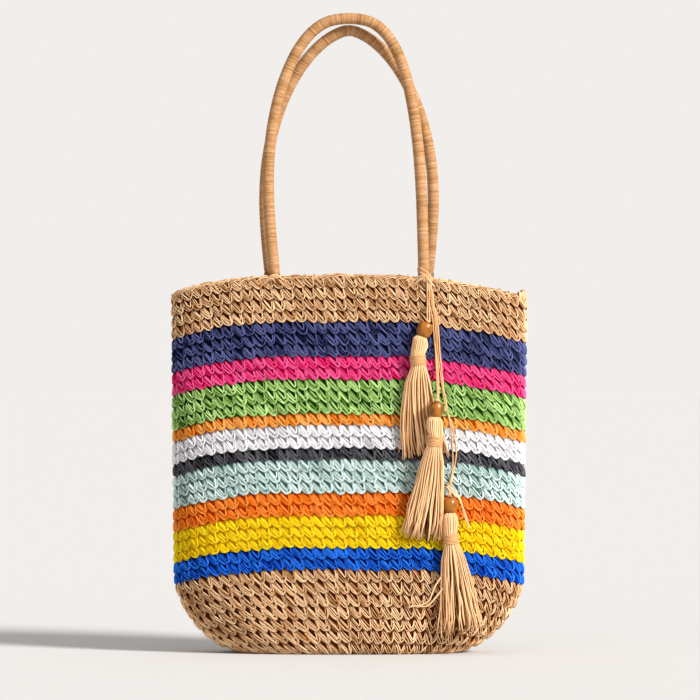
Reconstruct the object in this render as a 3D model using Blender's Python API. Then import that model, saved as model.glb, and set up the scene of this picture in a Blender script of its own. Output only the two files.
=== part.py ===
"""A crocheted straw tote bag that stands on its oval base.

The body is worked in rounds of paper straw: an oval base of three rounds, then thirty-three
courses of wall in coloured stripes, each stripe from its own ball of yarn. Two rope handles,
wrapped in yarn, are sewn to the rim by a strand that runs through each foot, so they fold
outwards about it. A charm of three beads and tassels hangs from a knot beside one foot.

Units are metres, +Z is up and the front of the bag faces -Y. The origin is on the ground,
under the middle of the base.
"""

import math

import bmesh
import bpy
from mathutils import Matrix, Vector

TOUCH = 0.0003  # gap between two pieces that touch

# The crocheted body.
BASE_ROUND = 0.01145  # width of one round of the base
BASE_ROUNDS = 3
BASE_LENGTH = 0.210
BASE_DEPTH = 0.080
BODY_WIDTH = 0.347  # across the side folds, just above the bottom corners
RIM_WIDTH = 0.355
BELLY_DEPTH = 0.100
MOUTH_DEPTH = 0.064
WALL = 0.0060  # thickness of the crochet
GROOVE = 0.0016  # depth of the crease between two courses
BELLY_AT = 0.25  # share of the bag's height where it is deepest
FRONT_TURN = 0.024  # height over which the base turns up into the front and the back
SIDE_TURN = 0.075  # height over which the base turns up into the sides
SIDE_TURN_POWER = 1.65  # 2 is an elliptic corner, less is nearer to a chamfer
OUTLINE_POWER = 2.5  # of the superellipse that each round follows
SAG = 0.017  # how far a course drops from the middle of the bag to its side folds
SAG_RISE = 0.040  # height over which the courses take up that drop
SAG_POWER = 3.5
COLUMNS = 36  # points round the bag

STRAW = "#BD9067"
STRIPES = (  # from the ground up: name, courses, height of a course, colour
    ("tan_base", 7, 0.01220, STRAW),
    ("blue_stripe", 2, 0.01075, "#1A55B3"),
    ("yellow_stripe", 3, 0.01070, "#F7CD16"),
    ("orange_stripe", 2, 0.01125, "#EA741E"),
    ("mint_stripe", 3, 0.01105, "#AEC6C2"),
    ("black_stripe", 1, 0.01145, "#2D262C"),
    ("white_stripe", 2, 0.01145, "#ECE7E9"),
    ("thin_orange_stripe", 1, 0.01145, "#E47A20"),
    ("green_stripe", 3, 0.01145, "#789D4D"),
    ("pink_stripe", 2, 0.01145, "#E13174"),
    ("navy_stripe", 3, 0.01145, "#343758"),
    ("tan_rim", 4, 0.01145, "#C68E5D"),
)

# The rope handles. Heights are above the hinge line at the rim.
ROPE_RADIUS = 0.00575  # over the yarn
YARN_WRAP = 0.0021  # thickness of the wrapped yarn
ROPE_SIDES = 8
FRONT_FEET = 0.1494  # between the middles of the two feet
FRONT_SPAN = 0.1530  # at the widest
FRONT_RISE = 0.2530
FRONT_CROWN = 0.39  # 0.5 is a half ellipse, more is more pointed
FRONT_SWING = -0.0050  # how far it leans to the right, halfway up
BACK_FEET = 0.1600
BACK_SPAN = 0.1700
BACK_RISE = 0.2420
BACK_CROWN = 0.60
BACK_SWING = 0.0
WIDEST_AT = 0.074  # height at which both are widest
CROWN_GAP = 0.0020  # between the two ropes where they lean on each other
ARCH_STEPS = 9
LEG_STEPS = 3

# The strand that sews each foot to the rim.
STRAND_RADIUS = 0.0011
STRAND_CLEARANCE = 0.0004
STRAND_SPREAD = 0.0082  # from the foot's middle to each leg of the strand
STRAND_DEPTH = 0.0050  # that each leg goes down into the rim

# The charm. Offsets are measured from its knot: to the right, and down.
KNOT_BESIDE_FOOT = 0.0063
KNOT_BELOW_RIM = 0.0090
KNOT_HITCH_RADIUS = 0.0026
KNOT_NECK_RADIUS = 0.0018
KNOT_STOPPER_RADIUS = 0.0042
CORD_RADIUS = 0.0011
BEAD_RADIUS = 0.0080
BEAD_HEIGHT = 0.0146
BEAD_HOLE_RADIUS = 0.0020
BEAD_END_RADIUS = 0.0056
BEAD_SIDES = 12
HEAD_RADIUS = 0.0084
NECK_RADIUS = 0.0070
BINDING = 0.0009  # thickness of the yarn bound round a tassel's neck
BINDING_HEIGHT = 0.0105
TASSEL_COLUMNS = 20
FLUTE = 0.10  # depth of the grooves between the strands, as a share of the radius

# Each tassel: bead, bead's tilt in degrees, neck and skirt end (right, down), half-width of the
# skirt's end, half-thickness of the skirt's end, and how far it stands off the bag's front.
TASSELS = (
    ("upper", (-0.0056, 0.0438), 22, (-0.0122, 0.0745), (-0.0050, 0.1705), 0.0255, 0.0050, 0.0),
    ("middle", (0.0054, 0.1232), 8, (0.0042, 0.1540), (-0.0090, 0.2505), 0.0210, 0.0060, 0.0135),
    ("lower", (0.0193, 0.2187), 0, (0.0202, 0.2520), (0.0310, 0.3435), 0.0240, 0.0080, 0.0),
)

# Routes of the three cords, chosen by hand: right, down, and the extra stand-off from the bag.
# Each ends at the top of its bead, and then runs on through it.
CORD_ROUTES = (
    ("upper", ((-0.0025, 0.0034, 0.0), (-0.0024, 0.0150, 0.0), (-0.0018, 0.0270, 0.0035))),
    ("middle", ((0.0, 0.0034, 0.0), (0.0008, 0.0180, 0.0), (0.0044, 0.0330, 0.0), (0.0052, 0.0480, 0.0),
                (0.0060, 0.0690, 0.0), (0.0078, 0.0900, 0.0050), (0.0084, 0.1060, 0.0135))),
    ("lower", ((0.0025, 0.0034, 0.0), (0.0036, 0.0180, 0.0), (0.0070, 0.0330, 0.0), (0.0079, 0.0480, 0.0),
               (0.0090, 0.0690, 0.0), (0.0112, 0.0900, 0.0), (0.0136, 0.1100, 0.0), (0.0172, 0.1290, 0.0),
               (0.0226, 0.1445, 0.0), (0.0260, 0.1590, 0.0), (0.0268, 0.1710, 0.0), (0.0250, 0.1840, 0.0),
               (0.0222, 0.1960, 0.0030))),
)
CORD_STEP = 0.0055  # between the points of a cord's tube

COURSES = sum(courses for _, courses, _, _ in STRIPES)
RIM_HEIGHT = sum(courses * tall for _, courses, tall, _ in STRIPES)
HINGE_ABOVE_RIM = ROPE_RADIUS + TOUCH


def clear_scene():
    """Removes whatever the file opened with."""
    for thing in list(bpy.data.objects):
        bpy.data.objects.remove(thing)


def linear(hex_colour):
    """The linear RGBA of an sRGB hex colour."""
    parts = [int(hex_colour[i:i + 2], 16) / 255 for i in (1, 3, 5)]
    return [p / 12.92 if p <= 0.04045 else ((p + 0.055) / 1.055) ** 2.4 for p in parts] + [1.0]


def finish(name, hex_colour, roughness):
    """A Principled material."""
    made = bpy.data.materials.new(name)
    made.use_nodes = True
    shader = made.node_tree.nodes["Principled BSDF"]
    shader.inputs["Base Color"].default_value = linear(hex_colour)
    shader.inputs["Roughness"].default_value = roughness
    shader.inputs["Metallic"].default_value = 0.0
    return made


def add_object(name, data, made_of, parent=None):
    """Links an object with its material, riding on parent."""
    thing = bpy.data.objects.new(name, data)
    bpy.context.scene.collection.objects.link(thing)
    data.materials.append(made_of)
    if parent:
        thing.parent = parent
        thing.matrix_parent_inverse = parent.matrix_world.inverted()
    return thing


def add_pivot(name, place):
    """An empty on a joint's axis."""
    pivot = bpy.data.objects.new(name, None)
    bpy.context.scene.collection.objects.link(pivot)
    pivot.location = place
    bpy.context.view_layer.update()
    return pivot


def skin(name, rings, ring_shaped=False, smooth=True):
    """A closed mesh lofted through rings of equal count.

    A ring-shaped one joins its last ring to its first, and any other is capped at both ends.
    """
    mesh = bmesh.new()
    loops = [[mesh.verts.new(p) for p in ring] for ring in rings]
    pairs = list(zip(loops, loops[1:]))
    if ring_shaped:
        pairs.append((loops[-1], loops[0]))
    count = len(loops[0])
    for low, high in pairs:
        for i in range(count):
            j = (i + 1) % count
            mesh.faces.new((low[i], low[j], high[j], high[i]))
    if not ring_shaped:
        mesh.faces.new(loops[0])
        mesh.faces.new(loops[-1])
    bmesh.ops.recalc_face_normals(mesh, faces=mesh.faces)
    data = bpy.data.meshes.new(name)
    mesh.to_mesh(data)
    mesh.free()
    if smooth:
        data.shade_smooth()
        data.set_sharp_from_angle(angle=math.radians(50))
    return data


def rods(name, ends, radius, sides=8):
    """One mesh of straight rods, for a cutter. Each end pair is (start, stop)."""
    mesh = bmesh.new()
    for start, stop in ends:
        along = stop - start
        turn = along.to_track_quat("Z", "Y").to_matrix().to_4x4()
        bmesh.ops.create_cone(mesh, cap_ends=True, segments=sides, radius1=radius, radius2=radius,
                              depth=along.length,
                              matrix=Matrix.Translation((start + stop) / 2) @ turn)
    data = bpy.data.meshes.new(name)
    mesh.to_mesh(data)
    mesh.free()
    return data


def cut(thing, cutter_name, cutter_mesh):
    """Cuts the cutter's solids out of thing."""
    cutter = bpy.data.objects.new(cutter_name, cutter_mesh)
    bpy.context.scene.collection.objects.link(cutter)
    cutter.hide_render = True
    cutter.display_type = "WIRE"
    taken = thing.modifiers.new(cutter_name, "BOOLEAN")
    taken.operation = "DIFFERENCE"
    taken.solver = "EXACT"
    taken.object = cutter


def ease(share):
    """Goes smoothly from 0 to 1 as share does."""
    share = min(1.0, max(0.0, share))
    return share * share * (3 - 2 * share)


def turned_up(share, power):
    """How far a corner has gone outwards, from 0 to 1, at that share of its height."""
    share = min(1.0, max(0.0, share))
    return (1 - (1 - share) ** power) ** (1 / power)


def sag(height):
    """How far the course at that height drops at the side folds."""
    return SAG * math.tanh(height / SAG_RISE)


def half_width(height):
    """Half the bag's width along the course at that height."""
    if height <= 0:
        return BASE_LENGTH / 2 + height
    flared = (BODY_WIDTH + (RIM_WIDTH - BODY_WIDTH) * height / RIM_HEIGHT) / 2
    corner = turned_up((height - sag(height)) / SIDE_TURN, SIDE_TURN_POWER)
    return BASE_LENGTH / 2 + (flared - BASE_LENGTH / 2) * corner


def half_depth(height):
    """Half the bag's depth along the course at that height."""
    if height <= 0:
        return BASE_DEPTH / 2 + height
    share = height / RIM_HEIGHT
    full = BELLY_DEPTH + (MOUTH_DEPTH - BELLY_DEPTH) * ease((share - BELLY_AT) / (1 - BELLY_AT))
    return BASE_DEPTH / 2 + (full - BASE_DEPTH) / 2 * turned_up(height / FRONT_TURN, 2)


def power_of(value, exponent):
    """A power that keeps the sign."""
    return math.copysign(abs(value) ** exponent, value)


def course_height(course):
    """The height along the wall at that count of courses, negative on the base."""
    if course <= 0:
        return course * BASE_ROUND
    height = 0.0
    for _, courses, tall, _ in STRIPES[:-1]:
        if course <= courses:
            return height + course * tall
        height += courses * tall
        course -= courses
    return height + course * STRIPES[-1][2]


def wall_point(course, angle):
    """A point on the outside of the bag.

    The course counts rounds above the edge of the base, and below 0 it is on the base itself,
    where the rounds shrink towards the first chain.
    """
    height = course_height(course)
    wide, deep = half_width(height), half_depth(height)
    across = power_of(math.cos(angle), 2 / OUTLINE_POWER)
    out = power_of(math.sin(angle), 2 / OUTLINE_POWER)
    up = 0.0 if height <= 0 else height - sag(height) * abs(across) ** SAG_POWER
    return Vector((wide * across, deep * out, up))


def wall_normal(course, angle):
    """The direction out of the crochet there."""
    step, turn = 0.3, 0.02
    along = wall_point(course, angle + turn) - wall_point(course, angle - turn)
    up = wall_point(course + step, angle) - wall_point(course - step, angle)
    return along.cross(up).normalized()


def wall_ring(course, inwards):
    """A round of points, that far in from the outside of the crochet."""
    angles = [2 * math.pi * (i + 0.5) / COLUMNS for i in range(COLUMNS)]
    if course < 0:  # the flat base, whose outside is its underside
        return [wall_point(course, a) + Vector((0, 0, inwards)) for a in angles]
    return [wall_point(course, a) - wall_normal(course, a) * inwards for a in angles]


def front_of_bag(x, z):
    """How far forward the front of the bag comes at that place, as a positive depth."""
    height = z
    for _ in range(4):  # the course that passes there, found by a few steps
        share = min(0.98, abs(x) / half_width(height))
        height = z + sag(height) * share ** SAG_POWER
    share = min(0.98, abs(x) / half_width(height))
    return half_depth(height) * (1 - share ** OUTLINE_POWER) ** (1 / OUTLINE_POWER)


def rim_top(x):
    """Height of the rim over that place."""
    return RIM_HEIGHT - sag(RIM_HEIGHT) * (abs(x) / half_width(RIM_HEIGHT)) ** SAG_POWER


def course_rings(first, last):
    """Rings up the outside, with a crease at each end of each course and a crest between."""
    rings = [wall_ring(first, GROOVE)]
    for course in range(math.ceil(first), math.ceil(last)):
        rings.append(wall_ring(course + 0.5, 0.0))
        rings.append(wall_ring(min(course + 1, last), GROOVE))
    return rings


def stripe_mesh(name, first, last):
    """A stripe: an open sleeve of courses between two heights."""
    inner = [wall_ring(c, WALL) for c in (last, (first + last) / 2, first)]
    return skin(name, course_rings(first, last) + inner, ring_shaped=True)


def base_mesh(name, last):
    """The base and the courses that turn up from it, in one piece of yarn."""
    under = [wall_ring(-BASE_ROUNDS - 0.2, 0.0)]
    for ring in range(-BASE_ROUNDS, 0):
        under += [wall_ring(ring, GROOVE), wall_ring(ring + 0.25, 0.0), wall_ring(ring + 0.75, 0.0)]
    outside = under + course_rings(0.04, last)
    inside = [wall_ring(c, WALL) for c in (last, last - 2, last - 4, 2, 1, 0.35)]
    floor = [wall_ring(c, WALL) for c in (-0.5, -BASE_ROUNDS - 0.2)]
    return skin(name, outside + inside + floor)


def make_body():
    """The base, the stripes and the rim, with the holes that the sewing passes through."""
    objects = {}
    done = 0
    for name, courses, tall, colour in STRIPES:
        half_gap = TOUCH / 2 / tall
        last = done + courses - (half_gap if done + courses < COURSES else 0.0)
        made_of = finish(name + "_straw", colour, 0.6)
        if done == 0:
            mesh = base_mesh(name, last)
        else:
            mesh = stripe_mesh(name, done + half_gap, last)
        objects[name] = add_object(name, mesh, made_of)
        done += courses
    return objects


def foot_place(feet, side, face):
    """The middle of a rope's foot, on the hinge line. Side and face are each 1 or -1."""
    x = side * feet / 2
    y = face * (front_of_bag(x, rim_top(x)) - WALL / 2)
    return Vector((x, y, rim_top(x) + HINGE_ABOVE_RIM))


def handle_path(feet, span, rise, crown, swing, face):
    """The rope's middle line, from its left foot over the crown to its right foot."""
    foot = foot_place(feet, 1, face)
    lean = face * (ROPE_RADIUS + CROWN_GAP / 2) - foot.y
    side = []
    for i in range(LEG_STEPS):
        up = WIDEST_AT * i / LEG_STEPS
        out = feet + (span - feet) * math.sin(math.pi / 2 * i / LEG_STEPS)
        side.append((out / 2, up))
    for i in range(ARCH_STEPS + 1):
        angle = math.pi / 2 * i / ARCH_STEPS
        out = span * max(0.0, math.cos(angle)) ** (2 * crown)
        side.append((out / 2, WIDEST_AT + (rise - WIDEST_AT) * math.sin(angle)))
    middle = [(-x, up) for x, up in side] + [(x, up) for x, up in reversed(side[:-1])]
    return [Vector((x + swing * math.sin(math.pi * up / rise), foot.y + lean * up / rise, foot.z + up))
            for x, up in middle]


def rope_rings(path, radius, end_radii):
    """Rings along the path, with rings of other radii added past both of its ends.

    Each end radius is (distance past the end, radius).
    """
    across = (path[-1] - path[0]).normalized()
    up = (path[len(path) // 2] - path[0]).normalized()
    face = across.cross(up).normalized()  # square to the plane that the rope lies in
    steps = [(path[0] - path[1]).normalized()]
    steps += [(b - a).normalized() for a, b in zip(path, path[2:])]
    steps += [(path[-1] - path[-2]).normalized()]
    steps[0] = -steps[0]

    def ring(middle, along, size):
        out = face.cross(along).normalized()
        turns = [2 * math.pi * (i + 0.5) / ROPE_SIDES for i in range(ROPE_SIDES)]
        return [middle + (out * math.cos(t) + face * math.sin(t)) * size for t in turns]

    rings = [ring(path[0] - steps[0] * past, steps[0], size) for past, size in reversed(end_radii)]
    rings += [ring(middle, along, radius) for middle, along in zip(path, steps)]
    rings += [ring(path[-1] + steps[-1] * past, steps[-1], size) for past, size in end_radii]
    return rings


def make_handle(name, feet, span, rise, crown, swing, face, yarn, rope):
    """A handle: a rope core inside a wrap of yarn, and the strand that sews each foot down."""
    path = handle_path(feet, span, rise, crown, swing, face)
    pivot = add_pivot(name + "_hinge", (0, path[0].y, path[0].z))
    bore = ROPE_RADIUS - YARN_WRAP
    tip = ROPE_RADIUS - TOUCH
    outside = rope_rings(path, ROPE_RADIUS, [(0.6 * ROPE_RADIUS, 0.79 * ROPE_RADIUS), (tip, 0.3 * ROPE_RADIUS)])
    inside = rope_rings(path, bore, [(0.5 * bore, 0.9 * bore), (tip, 0.15 * ROPE_RADIUS)])
    wrap = add_object(name + "_yarn_wrap", skin(name + "_yarn_wrap", outside + inside[::-1], True), yarn, pivot)
    core_rings = rope_rings(path, bore - TOUCH, [(0.45 * bore, 0.8 * bore)])
    core = add_object(name + "_rope_core", skin(name + "_rope_core", core_rings), rope, pivot)
    reach = Vector((2 * ROPE_RADIUS, 0, 0))
    holes = [(foot - reach, foot + reach) for foot in (path[0], path[-1])]
    for thing in (wrap, core):
        mesh = rods(thing.name + "_hole", holes, STRAND_RADIUS + STRAND_CLEARANCE)
        cut(thing, thing.name + "_hole", mesh)
    return path


def strand_legs(foot):
    """Where the two legs of a foot's sewing strand stand, at the height of the rim."""
    places = [foot + Vector((side * STRAND_SPREAD, 0, 0)) for side in (-1, 1)]
    return [Vector((p.x, p.y, rim_top(p.x))) for p in places]


def make_strand(name, foot, yarn):
    """The strand through a foot, a staple of yarn that goes down into the rim on both sides."""
    bend = 2 * STRAND_RADIUS
    left, right = strand_legs(foot)
    down = Vector((0, 0, STRAND_DEPTH - TOUCH))
    points = [left - down, Vector((left.x, foot.y, foot.z - bend)), Vector((left.x + bend, foot.y, foot.z)),
              Vector((right.x - bend, foot.y, foot.z)), Vector((right.x, foot.y, foot.z - bend)), right - down]
    return add_object(name, tube_curve(name, points, STRAND_RADIUS, 1), yarn)


def tube_curve(name, points, radius, resolution):
    """A round tube on a poly spline, with filled caps."""
    curve = bpy.data.curves.new(name, "CURVE")
    curve.dimensions = "3D"
    curve.bevel_depth = radius
    curve.bevel_resolution = resolution
    curve.use_fill_caps = True
    spline = curve.splines.new("POLY")
    spline.points.add(len(points) - 1)
    for point, place in zip(spline.points, points):
        point.co = (*place, 1.0)
    return curve


def knot_place():
    """The middle of the charm's hitch, against the front of the rim."""
    x = FRONT_FEET / 2 + KNOT_BESIDE_FOOT
    z = rim_top(x) - KNOT_BELOW_RIM
    return Vector((x, -(front_of_bag(x, z) + KNOT_HITCH_RADIUS + TOUCH), z))


def make_knot(yarn):
    """The knot that holds the charm: a hitch outside, a neck through the wall, a stopper inside."""
    place = knot_place()
    through = KNOT_HITCH_RADIUS + WALL + 2 * TOUCH
    profile = [(-0.95, 0.3), (-0.7, 0.72), (0.0, 1.0), (0.7, 0.72)]
    stations = [(KNOT_HITCH_RADIUS * along, KNOT_HITCH_RADIUS * wide) for along, wide in profile]
    stations += [(KNOT_HITCH_RADIUS, KNOT_NECK_RADIUS), (through, KNOT_NECK_RADIUS)]
    middle = through + KNOT_STOPPER_RADIUS
    stations += [(middle + KNOT_STOPPER_RADIUS * a, KNOT_STOPPER_RADIUS * w) for a, w in profile]
    rings = []
    for along, wide in stations:
        turns = [2 * math.pi * i / 8 for i in range(8)]
        rings.append([place + Vector((wide * math.cos(t), along, wide * math.sin(t))) for t in turns])
    return add_object("charm_knot", skin("charm_knot", rings), yarn)


def charm_place(offset, stand_off):
    """A place on the charm, that far in front of the bag.

    Below the bag's belly the charm hangs straight down from it, and doesn't follow the bag in.
    """
    knot = knot_place()
    x, z = knot.x + offset[0], knot.z - offset[1]
    front = front_of_bag(x, max(z, BELLY_AT * RIM_HEIGHT))
    return Vector((x, -(front + stand_off), z))


def bead_frame(tassel):
    """The middle of a tassel's bead, and the direction up its hole."""
    _, bead, tilt, _, _, _, _, extra = tassel
    axis = Vector((math.sin(math.radians(tilt)), 0, math.cos(math.radians(tilt))))
    return charm_place(bead, BEAD_RADIUS + 2 * TOUCH + extra), axis


def make_bead(tassel, wood, pivot):
    """A turned barrel bead with a hole along its axis."""
    name = tassel[0] + "_bead"
    middle, axis = bead_frame(tassel)
    half = BEAD_HEIGHT / 2
    outline = [(-half, BEAD_HOLE_RADIUS), (-half, BEAD_END_RADIUS)]
    for share in (-0.75, -0.4, 0.0, 0.4, 0.75):
        swell = (1 - abs(share) ** 2.6) * (BEAD_RADIUS - BEAD_END_RADIUS)
        outline.append((half * share, BEAD_END_RADIUS + swell))
    outline += [(half, BEAD_END_RADIUS), (half, BEAD_HOLE_RADIUS)]
    side = axis.cross(Vector((0, 1, 0))).normalized()
    front = axis.cross(side).normalized()
    rings = []
    for along, wide in outline:
        turns = [2 * math.pi * i / BEAD_SIDES for i in range(BEAD_SIDES)]
        rings.append([middle + axis * along + (side * math.cos(t) + front * math.sin(t)) * wide for t in turns])
    return add_object(name, skin(name, rings, True), wood, pivot)


def tassel_line(tassel):
    """Stations down a tassel: (middle, direction, half-width, half-thickness, depth of groove)."""
    _, _, _, neck, end, end_wide, end_thick, extra = tassel
    bead, axis = bead_frame(tassel)
    top = bead - axis * (BEAD_HEIGHT / 2 + TOUCH)
    neck_place = charm_place(neck, NECK_RADIUS + BINDING + 3 * TOUCH + extra)
    end_place = charm_place(end, end_thick + 4 * TOUCH)
    drop = (end_place - neck_place).normalized()
    shoulder = top - axis * 0.35 * HEAD_RADIUS
    stations = [(top, -axis, 0.35 * HEAD_RADIUS, 0.35 * HEAD_RADIUS, 0.0),
                (top - axis * 0.12 * HEAD_RADIUS, -axis, 0.72 * HEAD_RADIUS, 0.72 * HEAD_RADIUS, 0.02),
                (shoulder.lerp(neck_place, 0.06), -axis, 0.94 * HEAD_RADIUS, 0.94 * HEAD_RADIUS, 0.04),
                (shoulder.lerp(neck_place, 0.40), drop, HEAD_RADIUS, HEAD_RADIUS, 0.05)]
    half = drop * BINDING_HEIGHT / 2
    stations += [(neck_place - half * 1.05, drop, NECK_RADIUS, NECK_RADIUS, 0.0),
                 (neck_place + half * 1.05, drop, NECK_RADIUS, NECK_RADIUS, 0.0)]
    for share in (0.30, 0.65, 1.0):
        wide = NECK_RADIUS + (end_wide - NECK_RADIUS) * share ** 0.9
        thick = NECK_RADIUS + (end_thick - NECK_RADIUS) * share
        stations.append((neck_place.lerp(end_place, share), drop, wide, thick, FLUTE))
    return stations


def tassel_ring(middle, along, wide, thick, groove, columns):
    """A ring across a tassel, where every second point lies in a groove between strands."""
    side = along.cross(Vector((0, 1, 0))).normalized()
    front = side.cross(along).normalized()
    ring = []
    for i in range(columns):
        turn = 2 * math.pi * i / columns
        size = 1 - (groove if i % 2 else 0.0)
        ring.append(middle + side * wide * size * math.cos(turn) + front * thick * size * math.sin(turn))
    return ring


def make_tassel(tassel, straw, pivot):
    """A bundle of strands folded over its cord, and the yarn bound round its neck."""
    name = tassel[0] + "_tassel"
    line = tassel_line(tassel)
    rings = [tassel_ring(*station, TASSEL_COLUMNS) for station in line]
    add_object(name, skin(name, rings), straw, pivot)
    neck = line[4][0].lerp(line[5][0], 0.5)
    along = line[4][1]
    binding_sides = 12
    inner = (NECK_RADIUS + TOUCH) / math.cos(math.pi / binding_sides)
    outer = inner + BINDING
    half = BINDING_HEIGHT / 2
    outline = [(-half, inner), (-half, outer - 0.4 * BINDING), (-0.6 * half, outer), (0.6 * half, outer),
               (half, outer - 0.4 * BINDING), (half, inner)]
    rings = [tassel_ring(neck + along * at, along, size, size, 0.0, binding_sides) for at, size in outline]
    name = tassel[0] + "_binding"
    add_object(name, skin(name, rings, True), straw, pivot)


def smooth_route(places):
    """Points a CORD_STEP apart on a smooth curve through the places."""
    ends = [places[0] * 2 - places[1]] + places + [places[-1] * 2 - places[-2]]
    dense = []
    for a, b, c, d in zip(ends, ends[1:], ends[2:], ends[3:]):
        for i in range(12):
            t = i / 12
            dense.append(0.5 * (2 * b + (c - a) * t + (2 * a - 5 * b + 4 * c - d) * t ** 2
                                + (3 * b - a - 3 * c + d) * t ** 3))
    dense.append(places[-1])
    along = [0.0]
    for a, b in zip(dense, dense[1:]):
        along.append(along[-1] + (b - a).length)
    steps = max(3, round(along[-1] / CORD_STEP))
    points = []
    for i in range(steps + 1):
        want = along[-1] * i / steps
        k = min(len(dense) - 2, max(j for j, at in enumerate(along) if at <= want + 1e-9))
        points.append(dense[k].lerp(dense[k + 1], (want - along[k]) / (along[k + 1] - along[k])))
    return points


def make_cord(tassel, route, yarn, pivot):
    """A cord from the knot, down the front of the bag and through its bead."""
    bead, axis = bead_frame(tassel)
    places = [charm_place((x, z), CORD_RADIUS + 2 * TOUCH + extra) for x, z, extra in route]
    places += [bead + axis * (BEAD_HEIGHT / 2 + 0.002), bead, bead - axis * (BEAD_HEIGHT / 2 - 0.001)]
    name = tassel[0] + "_cord"
    return add_object(name, tube_curve(name, smooth_route(places), CORD_RADIUS, 2), yarn, pivot)


def main():
    """Builds the bag."""
    clear_scene()
    body = make_body()
    yarn = finish("wrapped_yarn", "#D79F6C", 0.55)
    rope = finish("rope_core", "#C9B79A", 0.9)
    raffia = finish("raffia", "#D0A071", 0.6)
    wood = finish("varnished_wood", "#B8721E", 0.2)

    rim_holes = []
    for name, feet, span, rise, crown, swing, face in (
            ("front_handle", FRONT_FEET, FRONT_SPAN, FRONT_RISE, FRONT_CROWN, FRONT_SWING, -1),
            ("back_handle", BACK_FEET, BACK_SPAN, BACK_RISE, BACK_CROWN, BACK_SWING, 1)):
        path = make_handle(name, feet, span, rise, crown, swing, face, yarn, rope)
        for side, foot in (("left", path[0]), ("right", path[-1])):
            make_strand(f"{name}_{side}_stitch", foot, yarn)
            for leg in strand_legs(foot):
                rim_holes.append((leg + Vector((0, 0, WALL)), leg - Vector((0, 0, STRAND_DEPTH))))
    rim = body[STRIPES[-1][0]]
    cut(rim, "stitch_holes", rods("stitch_holes", rim_holes, STRAND_RADIUS + STRAND_CLEARANCE))

    make_knot(raffia)
    knot = knot_place()
    neck = (knot - Vector((0, WALL, 0)), knot + Vector((0, 3 * WALL, 0)))
    cut(rim, "knot_hole", rods("knot_hole", [neck], KNOT_NECK_RADIUS + STRAND_CLEARANCE))

    pivot = add_pivot("charm_hinge", knot)
    for tassel, (_, route) in zip(TASSELS, CORD_ROUTES):
        make_cord(tassel, route, raffia, pivot)
        make_bead(tassel, wood, pivot)
        make_tassel(tassel, raffia, pivot)


main()
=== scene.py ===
"""A crocheted straw tote bag with two wrapped rope handles and a charm of beads and tassels.

Every stitch is laid as real strands on the bag's surface, which is worked out here from the same
sizes as the solids. Lengths are metres unless a name says otherwise, +Z is up and -Y is the front.
"""

import logging
import math
from dataclasses import dataclass, field
from enum import Enum

import bpy
import numpy as np
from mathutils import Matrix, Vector


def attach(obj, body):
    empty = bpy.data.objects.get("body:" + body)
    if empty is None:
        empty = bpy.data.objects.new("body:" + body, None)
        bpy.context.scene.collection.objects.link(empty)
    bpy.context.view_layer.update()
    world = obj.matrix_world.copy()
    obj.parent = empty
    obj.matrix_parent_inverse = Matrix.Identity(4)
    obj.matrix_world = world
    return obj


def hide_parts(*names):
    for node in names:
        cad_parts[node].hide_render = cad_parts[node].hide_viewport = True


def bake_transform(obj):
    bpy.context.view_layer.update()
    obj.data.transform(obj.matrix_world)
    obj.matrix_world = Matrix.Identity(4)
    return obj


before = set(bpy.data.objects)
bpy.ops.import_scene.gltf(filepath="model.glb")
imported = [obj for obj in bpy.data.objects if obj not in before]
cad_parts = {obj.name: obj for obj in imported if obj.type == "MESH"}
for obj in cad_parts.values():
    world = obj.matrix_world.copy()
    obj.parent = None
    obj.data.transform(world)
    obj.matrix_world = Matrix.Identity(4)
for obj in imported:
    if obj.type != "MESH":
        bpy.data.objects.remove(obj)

Array = np.ndarray
Colour = tuple[float, float, float, float]

LOG = logging.getLogger("tote_bag")
MM = 0.001


class Body(Enum):
    """The rigid bodies that a piece can ride on."""

    BAG = "bag"
    FRONT_HANDLE = "front_handle"
    BACK_HANDLE = "back_handle"


class Face(Enum):
    """The side of the bag that a handle is sewn to, as the sign of its Y."""

    FRONT = -1
    BACK = 1


# ---------------------------------------------------------------- finishes


def linear(hex_colour: str) -> Colour:
    """Turns an sRGB colour into the linear one that the shaders take.

    Args:
        hex_colour: The colour, such as "#C68E5D".

    Returns:
        Linear red, green and blue, and an alpha of 1.
    """
    parts = [int(hex_colour[i:i + 2], 16) / 255 for i in (1, 3, 5)]
    red, green, blue = (p / 12.92 if p <= 0.04045 else ((p + 0.055) / 1.055) ** 2.4 for p in parts)
    return red, green, blue, 1.0


def add_node(tree: bpy.types.NodeTree, kind: str, inputs: dict | None = None, **settings) -> bpy.types.Node:
    """Adds a node with its settings and links.

    Args:
        tree: The material's or the world's nodes.
        kind: The node's type.
        inputs: What goes into each socket, by name or number: a value, or another node's output.
        settings: The node's own properties.

    Returns:
        The node.
    """
    node = tree.nodes.new(kind)
    for name, value in settings.items():
        setattr(node, name, value)
    for socket, value in (inputs or {}).items():
        if isinstance(value, bpy.types.NodeSocket):
            tree.links.new(value, node.inputs[socket])
        else:
            node.inputs[socket].default_value = value
    return node


def new_material(name: str) -> tuple[bpy.types.Material, bpy.types.NodeTree]:
    """Makes an empty node material.

    Args:
        name: The common name of the real material.

    Returns:
        The material and its nodes.
    """
    material = bpy.data.materials.new(name)
    material.use_nodes = True
    material.node_tree.nodes.clear()
    return material, material.node_tree


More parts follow.
